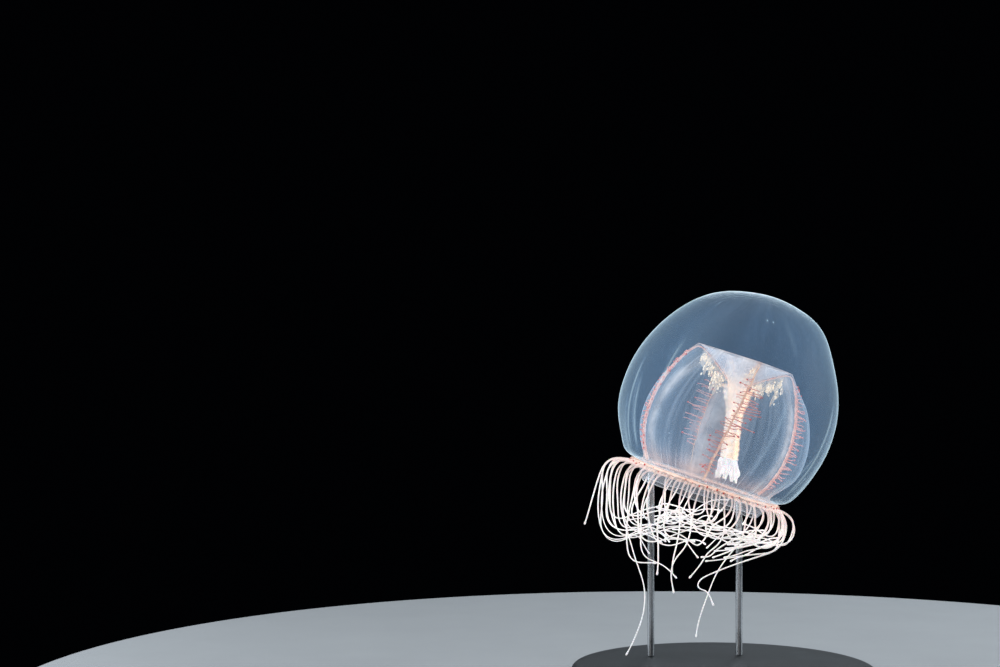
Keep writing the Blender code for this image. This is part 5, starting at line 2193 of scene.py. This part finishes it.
    def _strand(self, slot: int, route: Array) -> Strand:
        """A tentacle's smooth line with its widths: a swollen root, a slim length and a round tip.

        Args:
            slot: Its slot.
            route: Its line.

        Returns:
            The line with its widths.
        """
        line = route.copy()
        for _ in range(2):
            line[1:-1] = 0.5 * line[1:-1] + 0.25 * (line[2:] + line[:-2])
        line = spline(np.vstack([line[:1], line, line[-1:]]), 4 * len(line))
        total = lengths_along(line)[-1]
        rounding = np.array([0.06, 0.14, 0.24, 0.34])
        places = np.arange(0.0, total - 0.5, 0.3)
        places = np.concatenate([places, total - rounding[::-1], [total]])
        chance = hash_share(slot, 3, 9)
        left = total - places
        widths = self.width + self.uneven_width * chance
        widths = widths + self.root_width * np.exp(-places / 1.6) + 0.12 * np.exp(-places / 7.0)
        widths = widths * (1 + 0.04 * np.sin(places * 3.1 + slot) + 0.03 * np.sin(places * 1.3 + 2 * slot))
        widths = widths - 0.07 * smooth_step(14.0, 30.0, places)
        widths = widths + self.tip_knob * fade_from(left - 0.45, 0.5)
        widths = widths * np.sqrt(np.clip(1 - (1 - np.minimum(left, 0.4) / 0.4) ** 2, 0.002, 1.0))
        points = read_at(line, places)
        waves = [np.sin(places / (2.7 + 0.5 * k) + 6.3 * hash_share(slot, k, 4)) for k in range(3)]
        points += self.wave * np.stack(waves, axis=1) * smooth_step(2.0, 10.0, places)[:, None]
        return Strand(points, widths, AS_IT_IS)

    def build(self) -> None:
        """Builds the tentacles in groups of neighbours, each group a piece."""
        routes = self.routes()
        size = self.margin.slots // self.groups
        for group in range(self.groups):
            low, high = group * size, (group + 1) * size
            strands = [self._strand(slot, routes[slot]) for slot in range(low, high) if slot in routes]
            nodes = [f"tentacle_pair_{pair + 1:02d}" for pair in range(low // 2, high // 2)]
            for slot, name in self.trailing:
                if low <= slot < high:
                    nodes += [f"{name}_{part.value}" for part in Length]
            name = f"tentacles_{group + 1}"
            self.trees.tubes(name, strands, self.sides, self.looks["tentacle"], "tentacle", nodes)


# ---- the stand and the studio


@dataclass
class Stand(Part):
    """The plain display stand: a turned board, and two rods that keep their solids."""

    edge: float = 1.6
    foot_edge: float = 0.4
    edge_steps: int = 8
    columns: int = 160
    sharp_from: float = 50.0

    def build(self, frame: dict) -> None:
        """Turns the board anew with a finely rounded edge, and dresses the rods.

        Args:
            frame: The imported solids.
        """
        low, high = (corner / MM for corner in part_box("stand_base"))
        radius = (high.x - low.x) / 2
        middle = (low + high) / 2
        profile = [(0.0, low.z), (radius - self.foot_edge, low.z), (radius, low.z + self.foot_edge)]
        for i in range(self.edge_steps + 1):
            turn = radians(90.0 * i / self.edge_steps)
            reach = radius - self.edge + self.edge * cos(turn)
            profile.append((reach, high.z - self.edge + self.edge * sin(turn)))
        profile += [(radius * share, high.z) for share in (0.9, 0.6, 0.3, 0.0)]
        angles = all_round(self.columns)
        rings = np.array([ring_points(reach, height, angles) for reach, height in profile])
        rings += (middle.x, middle.y, 0.0)
        mesh = ring_mesh(rings, AS_IT_IS)
        turn_outwards(mesh, MERGE)
        mesh.set_sharp_from_angle(angle=radians(self.sharp_from))
        finish_piece("stand_board", mesh, self.looks["board"], ["stand_base"])
        for name in ("stand_rod_1", "stand_rod_2"):
            rod = frame["nodes"][name]
            rod.data.materials.clear()
            rod.data.materials.append(self.looks["steel"])
            log.info("%s keeps its solid", name)


class Place(Enum):
    """Where a soft light stands: its position, size, energy and colour."""

    LEFT = ((-0.40, -0.02, 0.16), 0.22, 1.5, (0.88, 0.96, 1.0))
    RIGHT = ((0.42, 0.02, 0.18), 0.22, 1.6, (0.88, 0.96, 1.0))
    TOP = ((0.02, 0.06, 0.48), 0.20, 0.7, (0.92, 0.97, 1.0))
    FRONT = ((-0.10, -0.60, 0.22), 0.30, 1.0, (1.0, 0.96, 0.92))
    BACK = ((0.10, 0.40, 0.34), 0.26, 0.8, (0.82, 0.93, 1.0))


@dataclass
class Studio:
    """The floor, the dark surround, the soft lights and the camera."""

    camera_step: Point = (-0.0567, -0.5376, 0.0408)  # from the middle of the margin, in metres
    lens: float = 70.0
    sensor: float = 36.0
    target: Point = (0.0, 0.0, 14.0)  # what the lights look at, in the medusa's own frame
    floor_radius: float = 0.20
    floor_sides: int = 160
    floor_clouds: float = 40.0
    floor_colours: tuple[Colour, Colour] = ((0.30, 0.31, 0.33), (0.34, 0.35, 0.37))
    floor_roughness: float = 0.8
    surround: Colour = (0.0004, 0.0005, 0.0008)

    def build(self) -> None:
        """Builds all of it."""
        self._floor()
        self._surround()
        for place in Place:
            self._light(place)
        self._camera()

    def _floor(self) -> None:
        """Lays a round pale floor."""
        shape = bmesh.new()
        bmesh.ops.create_circle(shape, cap_ends=True, segments=self.floor_sides, radius=self.floor_radius)
        mesh = bpy.data.meshes.new("floor")
        shape.to_mesh(mesh)
        shape.free()
        material = bpy.data.materials.new("pale floor")
        material.use_nodes = True
        graph = Graph(material.node_tree)
        first, second = self.floor_colours
        clouds = graph.noise(graph.add("ShaderNodeTexCoord").outputs["Object"], self.floor_clouds)
        colour = graph.mix(clouds, rgba(first), rgba(second))
        shader = material.node_tree.nodes["Principled BSDF"]
        graph.feed(shader, {"Base Color": colour, "Roughness": self.floor_roughness})
        mesh.materials.append(material)
        new_object("floor", mesh)

    def _surround(self) -> None:
        """Makes the surround even and dark."""
        world = bpy.data.worlds.new("surround")
        world.use_nodes = True
        world.node_tree.nodes["Background"].inputs["Color"].default_value = rgba(self.surround)
        bpy.context.scene.view_settings.view_transform = "Standard"
        bpy.context.scene.world = world

    def _light(self, place: Place) -> None:
        """Hangs a soft square light that looks at the bell.

        Args:
            place: Where, how large, how strong and of what colour.
        """
        position, size, energy, colour = place.value
        light = bpy.data.lights.new(f"light_{place.name.lower()}", "AREA")
        light.size = size
        light.energy = energy
        light.color = colour
        lamp = bpy.data.objects.new(light.name, light)
        lamp.location = position
        target = TO_ROW @ Vector(self.target) * MM
        lamp.rotation_euler = (target - lamp.location).to_track_quat("-Z", "Y").to_euler()
        lamp.visible_camera = False
        bpy.context.scene.collection.objects.link(lamp)

    def _camera(self) -> None:
        """Sets the camera level, in front, and a little above and to the left of the margin."""
        camera = bpy.data.cameras.new("camera")
        camera.lens = self.lens
        camera.sensor_width = self.sensor
        camera.clip_start = 0.01
        eye = bpy.data.objects.new("camera", camera)
        eye.location = Vector(MARGIN_CENTRE) * MM + Vector(self.camera_step)
        eye.rotation_euler = (radians(90.0), 0.0, 0.0)
        bpy.context.scene.collection.objects.link(eye)
        bpy.context.scene.camera = eye


def main() -> None:
    """Builds every sub-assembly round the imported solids."""
    logging.basicConfig(level=logging.INFO, format="%(name)s: %(message)s")
    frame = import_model()
    bpy.context.scene.cycles.transparent_max_bounces = CLEAR_LAYERS
    shape, trees, groups = BellShape(), Trees(), ShaderGroups()
    shape.check()
    kit = (shape, trees, {finish.name: finish.make(groups) for finish in FINISHES})

    Bell(*kit).build()
    stomach = Stomach(*kit)
    stomach.build_tube()
    stomach.build_lips()
    canals = Canals(*kit)
    canals.build()
    canals.build_branches()
    Gonads(*kit).build()
    margin = Margin(*kit)
    mop = Mop(*kit, margin)
    margin.build_ring()
    margin.build_ring_canal()
    margin.build_eyespots(mop.slots())
    margin.build_velum()
    margin.build_streaks()
    mop.build()
    Stand(*kit).build(frame)
    Studio().build()


if __name__ == "__main__":
    main()
